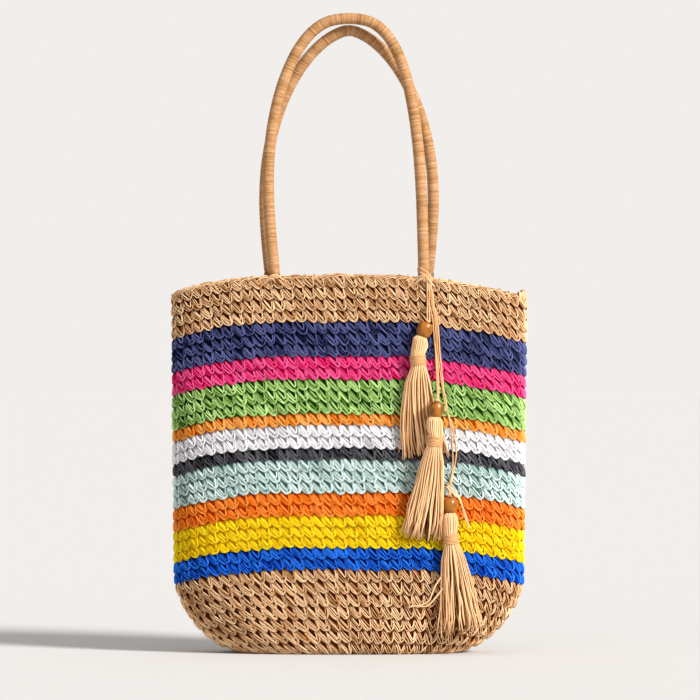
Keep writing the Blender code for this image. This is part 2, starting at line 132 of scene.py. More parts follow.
def ramp(tree: bpy.types.NodeTree, factor: bpy.types.NodeSocket, stops: list[tuple[float, Colour]]) -> bpy.types.Node:
    """Adds a colour ramp.

    Args:
        tree: The material's nodes.
        factor: What is looked up in it.
        stops: Place and colour of each stop, in order.

    Returns:
        The ramp.
    """
    node = add_node(tree, "ShaderNodeValToRGB", {"Fac": factor})
    elements = node.color_ramp.elements
    while len(elements) < len(stops):
        elements.new(0.5)
    for element, (place, colour) in zip(elements, stops):
        element.position = place
        element.color = colour
    return node


@dataclass(frozen=True)
class PaperStraw:
    """Twisted paper straw: a ribbon of paper pulp, dyed, and twisted into a round strand.

    Its long creases catch the light in fine streaks. Each strand carries a painted highlight along its crest
    and painted shade on its sides, through its tone. Dyed straw has a faint glaze, so its crests shine a little.
    """

    name: str
    deep: str
    main: str
    bright: str
    roughness: float = 0.50
    crease_length: float = 7 * MM
    creases_round: float = 5.0
    crease_depth: float = 0.14 * MM

    def build(self) -> bpy.types.Material:
        """Makes the material, which reads the strand's own direction from the mesh."""
        material, tree = new_material(self.name)
        grain = add_node(tree, "ShaderNodeAttribute", attribute_name="grain")
        tone = add_node(tree, "ShaderNodeAttribute", attribute_name="tone")
        scale = (1 / self.crease_length, self.creases_round, 1.0)
        along = add_node(tree, "ShaderNodeVectorMath", {0: grain.outputs["Vector"], 1: scale}, operation="MULTIPLY")
        creases = add_node(tree, "ShaderNodeTexNoise", {"Vector": along.outputs[0], "Scale": 1.0, "Detail": 3.0,
                                                        "Roughness": 0.6})
        streak = add_node(tree, "ShaderNodeMath", {0: creases.outputs["Fac"], 1: 1.1, 2: -0.55},
                          operation="MULTIPLY_ADD")
        place = add_node(tree, "ShaderNodeMath", {0: tone.outputs["Fac"], 1: streak.outputs[0]}, operation="ADD",
                         use_clamp=True)
        # The ramp's low end also gives the painted shade (the backing and the strands' sides), and its high end the
        # painted highlight on the crests.
        colour = ramp(tree, place.outputs[0], [(0.08, linear(self.deep)), (0.48, linear(self.main)),
                                               (0.88, linear(self.bright))])
        crease = add_node(tree, "ShaderNodeBump", {"Height": creases.outputs["Fac"], "Strength": 0.7,
                                                   "Distance": self.crease_depth})
        shader = add_node(tree, "ShaderNodeBsdfPrincipled", {
            "Base Color": colour.outputs["Color"], "Roughness": self.roughness, "Metallic": 0.0, "IOR": 1.5,
            "Specular IOR Level": 0.07, "Normal": crease.outputs["Normal"]})
        add_node(tree, "ShaderNodeOutputMaterial", {"Surface": shader.outputs[0]})
        return material


@dataclass(frozen=True)
class VarnishedWood:
    """Turned beech under amber varnish: the varnish is a clear glossy coat over faint dark grain."""

    name: str
    dark: str
    amber: str
    grain_width: float = 1.6 * MM
    roughness: float = 0.32

    def build(self) -> bpy.types.Material:
        """Makes the material, with grain along the bead's hole."""
        material, tree = new_material(self.name)
        grain = add_node(tree, "ShaderNodeAttribute", attribute_name="grain")
        scale = (1 / (9 * self.grain_width), 6.0, 1.0)
        along = add_node(tree, "ShaderNodeVectorMath", {0: grain.outputs["Vector"], 1: scale}, operation="MULTIPLY")
        fibres = add_node(tree, "ShaderNodeTexNoise", {"Vector": along.outputs[0], "Scale": 1.0, "Detail": 4.0,
                                                       "Distortion": 0.4})
        colour = ramp(tree, fibres.outputs["Fac"], [(0.34, linear(self.dark)), (0.64, linear(self.amber))])
        shader = add_node(tree, "ShaderNodeBsdfPrincipled", {
            "Base Color": colour.outputs["Color"], "Roughness": self.roughness, "IOR": 1.5,
            "Specular IOR Level": 0.05, "Coat Weight": 0.85, "Coat Roughness": 0.33, "Coat IOR": 1.5})
        add_node(tree, "ShaderNodeOutputMaterial", {"Surface": shader.outputs[0]})
        return material


@dataclass(frozen=True)
class LaidRope:
    """Cotton rope, laid from three strands: matt, pale and soft-edged."""

    name: str
    shade: str
    main: str
    lay: float = 4 * MM

    def build(self) -> bpy.types.Material:
        """Makes the material, whose bands are as wide as the rope's lay."""
        material, tree = new_material(self.name)
        place = add_node(tree, "ShaderNodeTexCoord")
        bands = add_node(tree, "ShaderNodeTexWave", {"Vector": place.outputs["Object"], "Scale": 1 / self.lay / 6,
                                                     "Distortion": 1.5}, bands_direction="DIAGONAL")
        # The darker bands are painted shade in the grooves between the rope's strands.
        colour = ramp(tree, bands.outputs["Fac"], [(0.0, linear(self.shade)), (1.0, linear(self.main))])
        shader = add_node(tree, "ShaderNodeBsdfPrincipled", {"Base Color": colour.outputs["Color"],
                                                             "Roughness": 0.9})
        add_node(tree, "ShaderNodeOutputMaterial", {"Surface": shader.outputs[0]})
        return material


class Yarn(Enum):
    """The yarns of the bag, each with the record's slot and its finish."""

    TAN = ("tan_straw", PaperStraw("tan paper straw", "#562204", "#CC8E54", "#FFDAAC"))
    BLUE = ("blue_straw", PaperStraw("blue paper straw", "#001C60", "#0040BE", "#2E86FC"))
    YELLOW = ("yellow_straw", PaperStraw("yellow paper straw", "#E0A800", "#FFDA00", "#FFE824"))
    ORANGE = ("orange_straw", PaperStraw("orange paper straw", "#CC4200", "#FF8208", "#FFA244"))
    MINT = ("mint_straw", PaperStraw("mint paper straw", "#5E8278", "#BAD9D2", "#F4FFFC"))
    BLACK = ("black_straw", PaperStraw("black paper straw", "#020204", "#221E24", "#747278"))
    WHITE = ("white_straw", PaperStraw("bleached paper straw", "#B0AAAE", "#FFFCFE", "#FFFFFF"))
    THIN_ORANGE = ("orange_straw", PaperStraw("second orange paper straw", "#BC4C00", "#FF981C", "#FFC268"))
    GREEN = ("green_straw", PaperStraw("leaf green paper straw", "#1A3E00", "#76A83C", "#CEF29C"))
    PINK = ("pink_straw", PaperStraw("pink paper straw", "#A8003E", "#F80C70", "#FF6EAC"))
    NAVY = ("navy_straw", PaperStraw("navy paper straw", "#02041E", "#151A42", "#6C72AA"))
    HANDLE = ("handle_yarn", PaperStraw("golden paper yarn", "#5E3814", "#AE7E50", "#DAB08A", 0.5, 5 * MM, 4.0,
                                        0.08 * MM))
    RAFFIA = ("raffia", PaperStraw("split raffia", "#5A2C0E", "#D09860", "#F4C694", 0.55, 12 * MM, 3.0,
                                   0.10 * MM))

    @property
    def slot(self) -> str:
        """The record's material slot."""
        return self.value[0]

    @property
    def finish(self) -> PaperStraw:
        """The yarn's finish."""
        return self.value[1]

    def material(self) -> bpy.types.Material:
        """The yarn's material, made on first use."""
        return bpy.data.materials.get(self.finish.name) or self.finish.build()


# ---------------------------------------------------------------- meshes of strands


def unit(vectors: Array) -> Array:
    """Scales vectors to length 1.

    Args:
        vectors: Any number of them, in the last axis.

    Returns:
        The directions.
    """
    return vectors / np.maximum(np.linalg.norm(vectors, axis=-1, keepdims=True), 1e-12)


def smooth_line(places: Array, step: float) -> Array:
    """Runs a smooth curve through places.

    Args:
        places: The points that it passes, in order.
        step: Distance between the points of the curve.

    Returns:
        Points at equal distances along it.
    """
    ends = np.vstack([2 * places[0] - places[1], places, 2 * places[-1] - places[-2]])
    a, b, c, d = (ends[i:len(ends) - 3 + i, None] for i in range(4))
    t = np.linspace(0, 1, 24, endpoint=False)[None, :, None]
    dense = 0.5 * (2 * b + (c - a) * t + (2 * a - 5 * b + 4 * c - d) * t ** 2 + (3 * b - a - 3 * c + d) * t ** 3)
    dense = np.vstack([dense.reshape(-1, 3), places[-1]])
    along = np.concatenate([[0.0], np.cumsum(np.linalg.norm(np.diff(dense, axis=0), axis=1))])
    wanted = np.linspace(0, along[-1], max(4, round(along[-1] / step)) + 1)
    return np.stack([np.interp(wanted, along, dense[:, i]) for i in range(3)], axis=1)


def directions(paths: Array) -> Array:
    """The direction along each path at each of its points.

    Args:
        paths: Points, as (path, point, xyz).

    Returns:
        Unit vectors of the same shape.
    """
    return unit(np.concatenate([paths[:, 1:2] - paths[:, :1], paths[:, 2:] - paths[:, :-2],
                                paths[:, -1:] - paths[:, -2:-1]], axis=1))


CREST_PAINTED_LIGHT = 0.26  # how much lighter a strand's crest is painted than its sides: painted highlight on the crest, painted shade on the sides


class YarnMesh:
    """Closed strands and sleeves collected into one mesh, with their grain and tone."""

    def __init__(self) -> None:
        """Starts an empty mesh."""
        self.points: list[Array] = []
        self.grains: list[Array] = []
        self.tones: list[Array] = []
        self.faces: list[Array] = []
        self.count = 0

    def rings(self, rings: Array, tone: Array | float, grain: Array | None = None, closed: bool = False) -> None:
        """Adds skins through rings.

        Args:
            rings: Points, as (skin, ring, point, xyz), where going round and then along turns outwards.
            tone: Lightness from 0 to 1, for all or for each point.
            grain: Distance along the strand, turn round it, and the strand's number, for each point.
            closed: Joins the last ring to the first, where otherwise both ends are capped.
        """
        skins, long, sides, _ = rings.shape
        index = self.count + np.arange(skins * long * sides).reshape(skins, long, sides)
        beside = np.roll(index, -1, axis=2)
        if closed:
            corners = [index, beside, np.roll(beside, -1, axis=1), np.roll(index, -1, axis=1)]
        else:
            corners = [index[:, :-1], beside[:, :-1], beside[:, 1:], index[:, 1:]]
            self.faces += [index[:, 0, ::-1], index[:, -1]]
        self.faces.append(np.stack(corners, axis=-1).reshape(-1, 4))
        if grain is None:
            grain = rings * np.array([1.0, 60.0, 60.0])
        self.points.append(rings.reshape(-1, 3))
        self.grains.append(np.broadcast_to(grain, rings.shape).reshape(-1, 3))
        self.tones.append(np.broadcast_to(tone, rings.shape[:3]).reshape(-1))
        self.count += skins * long * sides

    def strands(self, paths: Array, outs: Array, wide: Array | float, thick: Array | float, tone: Array | float,
                sides: int = 5, twist: float = 12 * MM, taper: float = 0.75) -> None:
        """Adds flattened strands.

        Args:
            paths: Their middle lines, as (strand, point, xyz).
            outs: Direction across the flat of the strand, of the same shape or one that broadcasts to it.
            wide: Half the width, for all or for each strand.
            thick: Half the thickness, for all or for each strand.
            tone: Lightness from 0 to 1, for all or for each strand.
            sides: Points round a strand.
            twist: Length of one turn of its creases.
            taper: Size of its ends, as a share of its width.
        """
        count, long, _ = paths.shape
        along = directions(paths)
        side = unit(np.cross(along, np.broadcast_to(outs, paths.shape)))
        up = np.cross(side, along)
        size = np.ones(long)
        size[[0, -1]] = taper
        wide, thick, tone = (np.broadcast_to(np.asarray(v, float), (count,)) for v in (wide, thick, tone))
        turn = 2 * np.pi * (np.arange(sides) / sides + 0.75)
        reach_side = side[:, :, None] * (wide[:, None] * size)[:, :, None, None] * np.cos(turn)[:, None]
        reach_up = up[:, :, None] * (thick[:, None] * size)[:, :, None, None] * np.sin(turn)[:, None]
        steps = np.linalg.norm(np.diff(paths, axis=1), axis=2)
        far = np.concatenate([np.zeros((count, 1)), np.cumsum(steps, axis=1)], axis=1)
        number = (self.count * 0.37 + np.arange(count) * 1.7) % 911
        grain = np.stack(np.broadcast_arrays(far[:, :, None], turn / (2 * np.pi) + far[:, :, None] / twist,
                                             number[:, None, None]), axis=-1)
        # The strand's own tone, plus a painted highlight on the crest and painted shade on the sides.
        self.rings(paths[:, :, None] + reach_side - reach_up, tone[:, None, None] - CREST_PAINTED_LIGHT * np.sin(turn), grain)

    def build(self, name: str, material: bpy.types.Material) -> bpy.types.Object:
        """Makes the object.

        Args:
            name: The piece's name.
            material: Its material.

        Returns:
            The object, in the scene.
        """
        mesh = bpy.data.meshes.new(name)
        points = np.concatenate(self.points)
        mesh.vertices.add(len(points))
        mesh.vertices.foreach_set("co", points.astype(np.float32).ravel())
        corners = np.concatenate([f.ravel() for f in self.faces])
        sizes = np.concatenate([np.full(len(f), f.shape[1]) for f in self.faces])
        mesh.loops.add(len(corners))
        mesh.loops.foreach_set("vertex_index", corners.astype(np.int32))
        mesh.polygons.add(len(sizes))
        starts = np.concatenate([[0], np.cumsum(sizes)[:-1]])
        mesh.polygons.foreach_set("loop_start", starts.astype(np.int32))
        mesh.update(calc_edges=True)
        mesh.attributes.new("grain", "FLOAT_VECTOR", "POINT").data.foreach_set(
            "vector", np.concatenate(self.grains).astype(np.float32).ravel())
        mesh.attributes.new("tone", "FLOAT", "POINT").data.foreach_set(
            "value", np.clip(np.concatenate(self.tones), 0, 1).astype(np.float32))
        mesh.materials.append(material)
        mesh.shade_smooth()
        piece = bpy.data.objects.new(name, mesh)
        bpy.context.scene.collection.objects.link(piece)
        return piece


def dress(piece: bpy.types.Object, body: Body, slot: str, *nodes: str) -> bpy.types.Object:
    """Puts a piece on its body in place of its solids.

    Args:
        piece: The piece.
        body: What it rides on.
        slot: The record's material slot; not used.
        nodes: The solids that it stands for.

    Returns:
        The piece.
    """
    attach(piece, body.value)
    if nodes:
        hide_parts(*nodes)
    LOG.info("%s: %d faces on %s", piece.name, len(piece.data.polygons), body.value)
    return piece


# ---------------------------------------------------------------- the bag


@dataclass(frozen=True)
class Stripe:
    """Courses of one colour: the solid that they stand for, how many, the height of one, and the yarn."""

    node: str
    courses: int
    course: float
    yarn: Yarn


STRIPES = (  # from the ground up
    Stripe("tan_base", 7, 12.20 * MM, Yarn.TAN),
    Stripe("blue_stripe", 2, 10.75 * MM, Yarn.BLUE),
    Stripe("yellow_stripe", 3, 10.70 * MM, Yarn.YELLOW),
    Stripe("orange_stripe", 2, 11.25 * MM, Yarn.ORANGE),
    Stripe("mint_stripe", 3, 11.05 * MM, Yarn.MINT),
    Stripe("black_stripe", 1, 11.45 * MM, Yarn.BLACK),
    Stripe("white_stripe", 2, 11.45 * MM, Yarn.WHITE),
    Stripe("thin_orange_stripe", 1, 11.45 * MM, Yarn.THIN_ORANGE),
    Stripe("green_stripe", 3, 11.45 * MM, Yarn.GREEN),
    Stripe("pink_stripe", 2, 11.45 * MM, Yarn.PINK),
    Stripe("navy_stripe", 3, 11.45 * MM, Yarn.NAVY),
    Stripe("tan_rim", 4, 11.45 * MM, Yarn.TAN),
)


@dataclass(frozen=True)
class BagSurface:
    """The outside of the crochet, by course above the base's edge and by angle round the bag."""

    stripes: tuple[Stripe, ...] = STRIPES
    base_round: float = 11.45 * MM
    base_rounds: int = 3
    base_length: float = 210 * MM
    base_depth: float = 80 * MM
    body_width: float = 347 * MM
    rim_width: float = 355 * MM
    belly_depth: float = 100 * MM
    mouth_depth: float = 64 * MM
    belly_at: float = 0.25
    front_turn: float = 24 * MM
    side_turn: float = 75 * MM
    side_turn_power: float = 1.65
    outline_power: float = 2.5
    sag: float = 17 * MM
    sag_rise: float = 40 * MM
    sag_power: float = 3.5
    ripple: float = 0.55 * MM
    stitch: float = 10.7 * MM
    droop: float = 5.0 * MM

    @property
    def courses(self) -> int:
        """How many courses the wall has."""
        return sum(stripe.courses for stripe in self.stripes)

    @property
    def rim_height(self) -> float:
        """Height of the rim at the middle of the bag."""
        return sum(stripe.courses * stripe.course for stripe in self.stripes)

    def level(self, course: Array) -> Array:
        """Height along the wall at a count of courses, negative on the base."""
        counts = np.cumsum([0, *(stripe.courses for stripe in self.stripes)])
        heights = np.cumsum([0.0, *(stripe.courses * stripe.course for stripe in self.stripes)])
        above = np.interp(course, counts, heights) + np.maximum(course - counts[-1], 0) * self.stripes[-1].course
        return np.where(course < 0, course * self.base_round, above)

    def sag_at(self, height: Array) -> Array:
        """How far the course at a height drops at the side folds."""
        return self.sag * np.tanh(np.maximum(height, 0) / self.sag_rise)

    def half_width(self, height: Array) -> Array:
        """Half the bag's width along the course at a height.

        Args:
            height: The course's height above the floor.

        Returns:
            Half widths in metres.
        """
        above = np.maximum(height, 0)
        flared = (self.body_width + (self.rim_width - self.body_width) * above / self.rim_height) / 2
        share = np.clip((above - self.sag_at(above)) / self.side_turn, 0, 1)
        corner = (1 - (1 - share) ** self.side_turn_power) ** (1 / self.side_turn_power)
        return self.base_length / 2 + np.where(height <= 0, height, (flared - self.base_length / 2) * corner)

    def half_depth(self, height: Array) -> Array:
        """Half the bag's depth along the course at a height.

        Args:
            height: The course's height above the floor.

        Returns:
            Half depths in metres.
        """
        above = np.maximum(height, 0)
        share = np.clip((above / self.rim_height - self.belly_at) / (1 - self.belly_at), 0, 1)
        full = self.belly_depth + (self.mouth_depth - self.belly_depth) * share * share * (3 - 2 * share)
        corner = np.sqrt(1 - (1 - np.clip(above / self.front_turn, 0, 1)) ** 2)
        return self.base_depth / 2 + np.where(height <= 0, height, (full - self.base_depth) / 2 * corner)

    def point(self, course: Array, angle: Array) -> Array:
        """A place on the outside.

        Args:
            course: Courses above the edge of the base, and below 0 on the base itself.
            angle: From the right side fold towards the back.

        Returns:
            Points, in one more axis.
        """
        height = self.level(course)
        reach = (np.abs(np.cos(angle)) ** self.outline_power
                 + np.abs(np.sin(angle)) ** self.outline_power) ** (-1 / self.outline_power)
        across, out = reach * np.cos(angle), reach * np.sin(angle)
        fade = np.clip(height / (3 * self.base_round), 0, 1)
        wave = self.ripple * fade * (np.sin(9 * across + 38 * height) + np.sin(17 * across + 5 * out - 61 * height))
        x = self.half_width(height) * across
        y = self.half_depth(height) * out + wave * out
        z = np.maximum(height, 0) - self.sag_at(height) * np.abs(across) ** self.sag_power + wave * 0.7
        right, top = np.clip((x - 50 * MM) / (80 * MM), 0, 1), np.clip((height - 180 * MM) / (180 * MM), 0, 1)
        z = z - self.droop * right * right * (3 - 2 * right) * top * top * (3 - 2 * top)
        return np.stack(np.broadcast_arrays(x, y, z), axis=-1)

    def normal(self, course: Array, angle: Array) -> Array:
        """The direction out of the crochet at a place, as for point."""
        along = self.point(course, angle + 0.01) - self.point(course, angle - 0.01)
        up = self.point(course + 0.15, angle) - self.point(course - 0.15, angle)
        return unit(np.cross(along, up))

    def at_depth(self, course: Array, angle: Array, depth: Array | float) -> Array:
        """A place that far outwards from the surface, as for point."""
        return self.point(course, angle) + self.normal(course, angle) * np.asarray(depth)[..., None]

    def way_round(self, course: float) -> tuple[Array, Array]:
        """Angles round a course, and the distance walked to each of them."""
        angles = np.linspace(0, 2 * np.pi, 1441)
        line = self.point(np.full_like(angles, course), angles)
        walked = np.concatenate([[0.0], np.cumsum(np.linalg.norm(np.diff(line, axis=0), axis=1))])
        return angles, walked

    def stitches(self, course: int) -> int:
        """How many stitches a course has: more each round until the sides stand up, and then the same."""
        return round(self.way_round(min(course, 9) + 0.5)[1][-1] / self.stitch)

    def front(self, x: float, z: float) -> float:
        """How far forward the front of the bag comes at a place, as a positive depth.

        Args:
            x: To the right of the middle.
            z: Above the floor.

        Returns:
            The depth in metres.
        """
        height = z
        for _ in range(4):
            share = min(0.98, abs(x) / float(self.half_width(np.array(height))))
            height = z + float(self.sag_at(np.array(height))) * share ** self.sag_power
        share = min(0.98, abs(x) / float(self.half_width(np.array(height))))
        return float(self.half_depth(np.array(height))) * (1 - share ** self.outline_power) ** (1 / self.outline_power)

    def rim_top(self, x: float) -> float:
        """Height of the rim over a place."""
        share = abs(x) / float(self.half_width(np.array(self.rim_height)))
        return self.rim_height - float(self.sag_at(np.array(self.rim_height))) * share ** self.sag_power


# One stitch, seen from outside: its strands slant down from the upper left to its foot. The first
# two turn in there, and the next two turn back up beside the hole that the stitch above comes out
# of. The last one comes up to the right, under the next stitch. Each point is millimetres to the
# right, share of the course, millimetres outwards.
STITCH = np.array([
    [(-9.9, 0.56, -2.2), (-8.4, 0.43, 0.1), (-6.7, 0.29, 0.7), (-4.9, 0.14, 0.9), (-3.2, 0.02, 0.8),
     (-1.7, -0.05, 0.4), (-0.6, -0.05, -0.5), (0.3, 0.06, -1.7), (0.8, 0.20, -2.6)],
    [(-10.5, 0.90, -2.2), (-9.2, 0.75, -0.1), (-7.4, 0.57, 0.7), (-5.2, 0.37, 1.0), (-3.0, 0.18, 1.0),
     (-1.2, 0.03, 0.8), (0.2, -0.04, 0.3), (1.1, 0.08, -0.8), (1.5, 0.28, -2.5)],
    [(-9.3, 1.05, -2.4), (-7.4, 0.82, 0.0), (-5.1, 0.59, 0.9), (-2.6, 0.36, 1.1), (-0.4, 0.15, 0.9),
     (1.1, 0.05, 0.6), (2.0, 0.20, 0.6), (1.7, 0.58, 0.6), (0.8, 0.96, -1.2)],
    [(-8.0, 1.14, -2.6), (-6.4, 0.93, -0.6), (-4.8, 0.76, 0.4), (-3.0, 0.59, 0.8), (-1.4, 0.43, 0.8),
     (-0.1, 0.32, 0.6), (0.6, 0.38, 0.4), (0.4, 0.64, 0.3), (-0.4, 0.97, -1.3)],
    [(-1.2, 0.12, -1.4), (-0.2, 0.02, -0.2), (0.9, -0.02, 0.5), (2.0, 0.05, 0.7), (2.8, 0.16, 0.6),
     (3.2, 0.30, 0.5), (3.3, 0.46, 0.2), (3.2, 0.62, -0.7), (3.0, 0.80, -2.4)],
])

# The back of a stitch, seen from inside the bag: two short bars.
BACK_BARS = np.array([
    [(-6.2, 0.46, -4.6), (-3.0, 0.38, -5.9), (0.0, 0.35, -6.2), (3.0, 0.40, -5.9), (6.2, 0.52, -4.6)],
    [(-5.4, 0.84, -4.6), (-2.6, 0.74, -5.7), (0.0, 0.72, -5.9), (2.6, 0.80, -5.7), (5.0, 0.96, -4.6)],
])

# One link of the chain along the rim: strands that lie over the edge, each link over the next.
RIM_LINK = np.array([
    [(-3.5, 0.62, 0.2), (-0.5, 0.77, 1.0), (3.5, 0.92, 0.8), (8.5, 0.99, -0.4), (13.5, 0.93, -2.6)],
    [(-2.0, 0.55, 0.0), (1.2, 0.70, 0.9), (5.2, 0.83, 0.9), (9.5, 0.88, 0.3), (13.0, 0.80, -1.8)],
    [(-2.5, 0.84, -1.8), (1.5, 0.99, -1.6), (6.0, 1.05, -1.9), (10.5, 1.02, -3.0), (15.0, 0.90, -4.2)],
    [(-3.5, 0.86, -4.4), (0.0, 0.99, -4.4), (5.0, 1.04, -4.2), (10.0, 1.02, -3.4), (15.0, 0.90, -2.4)],
    [(-3.5, 0.76, -5.4), (0.0, 0.90, -6.0), (5.0, 0.95, -6.0), (10.0, 0.93, -5.2), (15.0, 0.86, -3.4)],
])


@dataclass
class CrochetBand:
    """The courses worked in one colour, stitch by stitch, on a thin backing of the same yarn whose darker tone is
    painted shade.
    """

    node: str
    first: int
    courses: int
    yarn: Yarn
    surface: BagSurface
    half_width: float = 0.64 * MM
    half_thickness: float = 0.66 * MM
    crease_depth: float = 3.0 * MM  # of the backing's outside, between two courses
    base_depth: float = 2.3 * MM  # of the backing's outside, under the base
    inside_depth: float = 5.2 * MM  # of the backing's inside
    columns: int = 144
    second_bar_from: int = 22

    @property
    def last(self) -> int:
        """The course above the band."""
        return self.first + self.courses

    def build(self) -> bpy.types.Object:
        """Works the band.

        Returns:
            The dressed piece.
        """
        mesh = YarnMesh()
        chance = np.random.default_rng(1000 + self.first)
        start = -self.surface.base_rounds if self.first == 0 else self.first
        for course in range(start, self.last):
            self.work_round(mesh, course, STITCH, 1.0, chance)
            bars = BACK_BARS if course >= self.second_bar_from else BACK_BARS[:1]
            self.work_round(mesh, course, bars, -1.0, chance)
        if self.first == 0:
            self.back_base(mesh)
            self.start_chain(mesh, chance)
        else:
            self.back_wall(mesh)
        if self.last == self.surface.courses:
            self.work_round(mesh, self.last - 1, RIM_LINK, 1.0, chance)
        piece = mesh.build(f"{self.node}_crochet", self.yarn.material())
        return dress(piece, Body.BAG, self.yarn.slot, self.node)

    def work_round(self, mesh: YarnMesh, course: int, pattern: Array, face: float,
                   chance: np.random.Generator) -> None:
        """Lays one course of stitches, each a little different from the next.

        Args:
            mesh: Where the strands go.
            course: The course, below 0 on the base.
            pattern: Strands of one stitch.
            face: 1 on the outside of the bag and -1 on the inside.
            chance: Source of the small differences.
        """
        angles, walked = self.surface.way_round(course + 0.5)
        count = self.surface.stitches(course)
        pitch = walked[-1] / count
        strands, long, _ = pattern.shape
        middle = 0.75 * walked[-1] + (np.arange(count) - 0.05 * course) * pitch

        def vary(size: float, *shape: int) -> Array:
            """Small differences of about that size."""
            return np.clip(chance.normal(0, size, shape), -2 * size, 2 * size)

        right = pattern[None, :, :, 0] * MM * pitch / self.surface.stitch
        up = np.broadcast_to(pattern[None, :, :, 1], (count, strands, long))
        out = pattern[None, :, :, 2] * MM
        lean = vary(0.65 * MM, count, 1, 1)
        right = right + vary(0.40 * MM, count, 1, 1) + lean * (up - 0.4) + vary(0.26 * MM, count, strands, 1) \
            + vary(0.17 * MM, count, strands, long)
        up = 0.5 + (up - 0.5) * (1 + vary(0.04, count, 1, 1)) + vary(0.022, count, 1, 1) \
            + vary(0.020, count, strands, 1) + vary(0.012, count, strands, long)
        out = out + vary(0.18 * MM, count, 1, 1) + vary(0.20 * MM, count, strands, 1) \
            + vary(0.12 * MM, count, strands, long)
        if course < 0 and face > 0:
            out = np.minimum(out, 0.2 * MM) - 1.1 * MM
        elif course == 0 and face > 0:
            out = out - 1.0 * MM
        place = (middle[:, None, None] + right) % walked[-1]
        angle = np.interp(place, walked, angles)
        height = course + up
        normal = self.surface.normal(height, angle)
        paths = (self.surface.point(height, angle) + normal * out[..., None]).reshape(-1, long, 3)
        paths[..., 2] = np.maximum(paths[..., 2], self.half_thickness)  # the base lies flat on the floor
        number = count * strands
        tone = 0.62 + (vary(0.05, count, 1) + vary(0.20, count, strands)).ravel()
        mesh.strands(paths, face * normal.reshape(-1, long, 3), self.half_width * (1 + vary(0.12, number)),
                     self.half_thickness * (1 + vary(0.10, number)), tone, sides=3)

    def ring(self, course: float, depth: float) -> Array:
        """A round of points that far outwards from the surface."""
        angle = 2 * np.pi * np.arange(self.columns) / self.columns
        return self.surface.at_depth(np.full(self.columns, float(course)), angle, np.full(self.columns, depth))

    def outer_rings(self, first: float, last: int) -> list[Array]:
        """The backing's outer rings, with a crease between the courses.

        Args:
            first: Course where they start.
            last: Course where they end.

        Returns:
            One array of points for each ring.
        """
        rings = [self.ring(first, -self.crease_depth)]
        for course in range(int(first), last):
            rings += [self.ring(course + at, -depth * MM) for at, depth in
                      ((0.25, 2.3), (0.5, 2.0), (0.75, 2.3), (1.0, 3.0))]
        return rings

    def back_wall(self, mesh: YarnMesh) -> None:
        """Adds the backing of a sleeve of courses."""
        outer = self.outer_rings(self.first, self.last)
        inner = [self.ring(c, -self.inside_depth) for c in np.arange(self.last, self.first - 0.1, -0.5)]
        # Painted shade: the backing's outside is in the deepest tone, seen through the holes, and its inside is darker
        # than the strands.
        tone = np.repeat([0.0, 0.3], [len(outer), len(inner)])[None, :, None]
        mesh.rings(np.stack(outer + inner)[None], tone, closed=True)

    def back_base(self, mesh: YarnMesh) -> None:
        """Adds the backing of the base and of the courses that turn up from it.

        Args:
            mesh: Where the backing goes.
        """
        edge = -self.surface.base_rounds - 0.2
        outer = [self.ring(c, -self.base_depth) for c in np.arange(edge, -0.2, 0.5)]
        outer += self.outer_rings(0.15, self.last)
        inner = [self.ring(c, -self.inside_depth) for c in np.arange(self.last, 0.6, -0.5)]
        inner += [self.ring(c, -self.inside_depth) for c in np.arange(-0.6, edge - 0.1, -0.65)]
        # Painted shade: the backing's outside is in the deepest tone, seen through the holes, and its inside is darker
        # than the strands.
        tone = np.repeat([0.0, 0.3], [len(outer), len(inner)])[None, :, None]
        mesh.rings(np.stack(outer + inner)[None], tone)

    def start_chain(self, mesh: YarnMesh, chance: np.random.Generator) -> None:
        """Adds the chain along the middle of the base that the first round is worked into.

        Args:
            mesh: Where the chain goes.
            chance: Source of the small differences.
        """
        half = self.surface.base_length / 2 - (self.surface.base_rounds + 0.1) * self.surface.base_round
        starts = np.arange(-half, half - 8 * MM, 9 * MM)
        link = np.array([(-2.0, 0.4, 2.4), (1.0, 1.6, 1.1), (6.0, 1.9, 0.9), (10.0, 0.9, 1.2), (12.5, 0.2, 2.6)]) * MM
        for side in (-1, 1):
            paths = link[None] * np.array([1, side, 1]) + starts[:, None, None] * np.array([1.0, 0, 0])
            mesh.strands(paths, np.array([0, 0, -1.0]), self.half_width, self.half_thickness,
                         0.5 + chance.normal(0, 0.1, len(starts)))


@dataclass
class CrochetBody:
    """The whole crocheted body."""

    surface: BagSurface

    def build(self) -> list[bpy.types.Object]:
        """Works every band, from the ground up.

        Returns:
            The bands.
        """
        pieces, first = [], 0
        for stripe in self.surface.stripes:
            pieces.append(CrochetBand(stripe.node, first, stripe.courses, stripe.yarn, self.surface).build())
            first += stripe.courses
        pieces.append(self.end_of_round())
        return pieces

    def end_of_round(self) -> bpy.types.Object:
        """Adds the step at the right side fold where the last round ends: a fastened-off loop."""
        mesh = YarnMesh()
        top = self.surface.courses
        chance = np.random.default_rng(77)
        turns, start, step = 11, -0.36, 0.036  # loops side by side, and their angles from the side fold
        for turn in range(turns):
            angle = start + step * turn
            rise = 0.26 + 0.42 * math.sin(math.pi * (turn + 1) / (turns + 1)) + chance.normal(0, 0.05)
            heights = np.array([top - 0.5, top - 0.05, top + rise, top + rise + 0.04, top - 0.05, top - 0.4])
            depths = np.array([0.4, 0.5, -0.6, -3.4, -5.6, -5.8]) * MM
            angles = angle + np.array([-0.03, -0.01, 0.0, 0.01, 0.02, 0.03]) + chance.normal(0, 0.004)
            path = self.surface.at_depth(heights, angles, depths)[None]
            out = self.surface.normal(heights, angles)[None] * np.linspace(1, -1, 6)[None, :, None]
            out = out + np.array([0, 0, 1.2]) * (1 - np.abs(np.linspace(-1, 1, 6)))[None, :, None]
            mesh.strands(path, unit(out), 0.95 * MM, 0.68 * MM, 0.5 + chance.normal(0, 0.1))
        piece = mesh.build("fastened_off_end", Yarn.TAN.material())
        return dress(piece, Body.BAG, Yarn.TAN.slot)


# ---------------------------------------------------------------- the handles


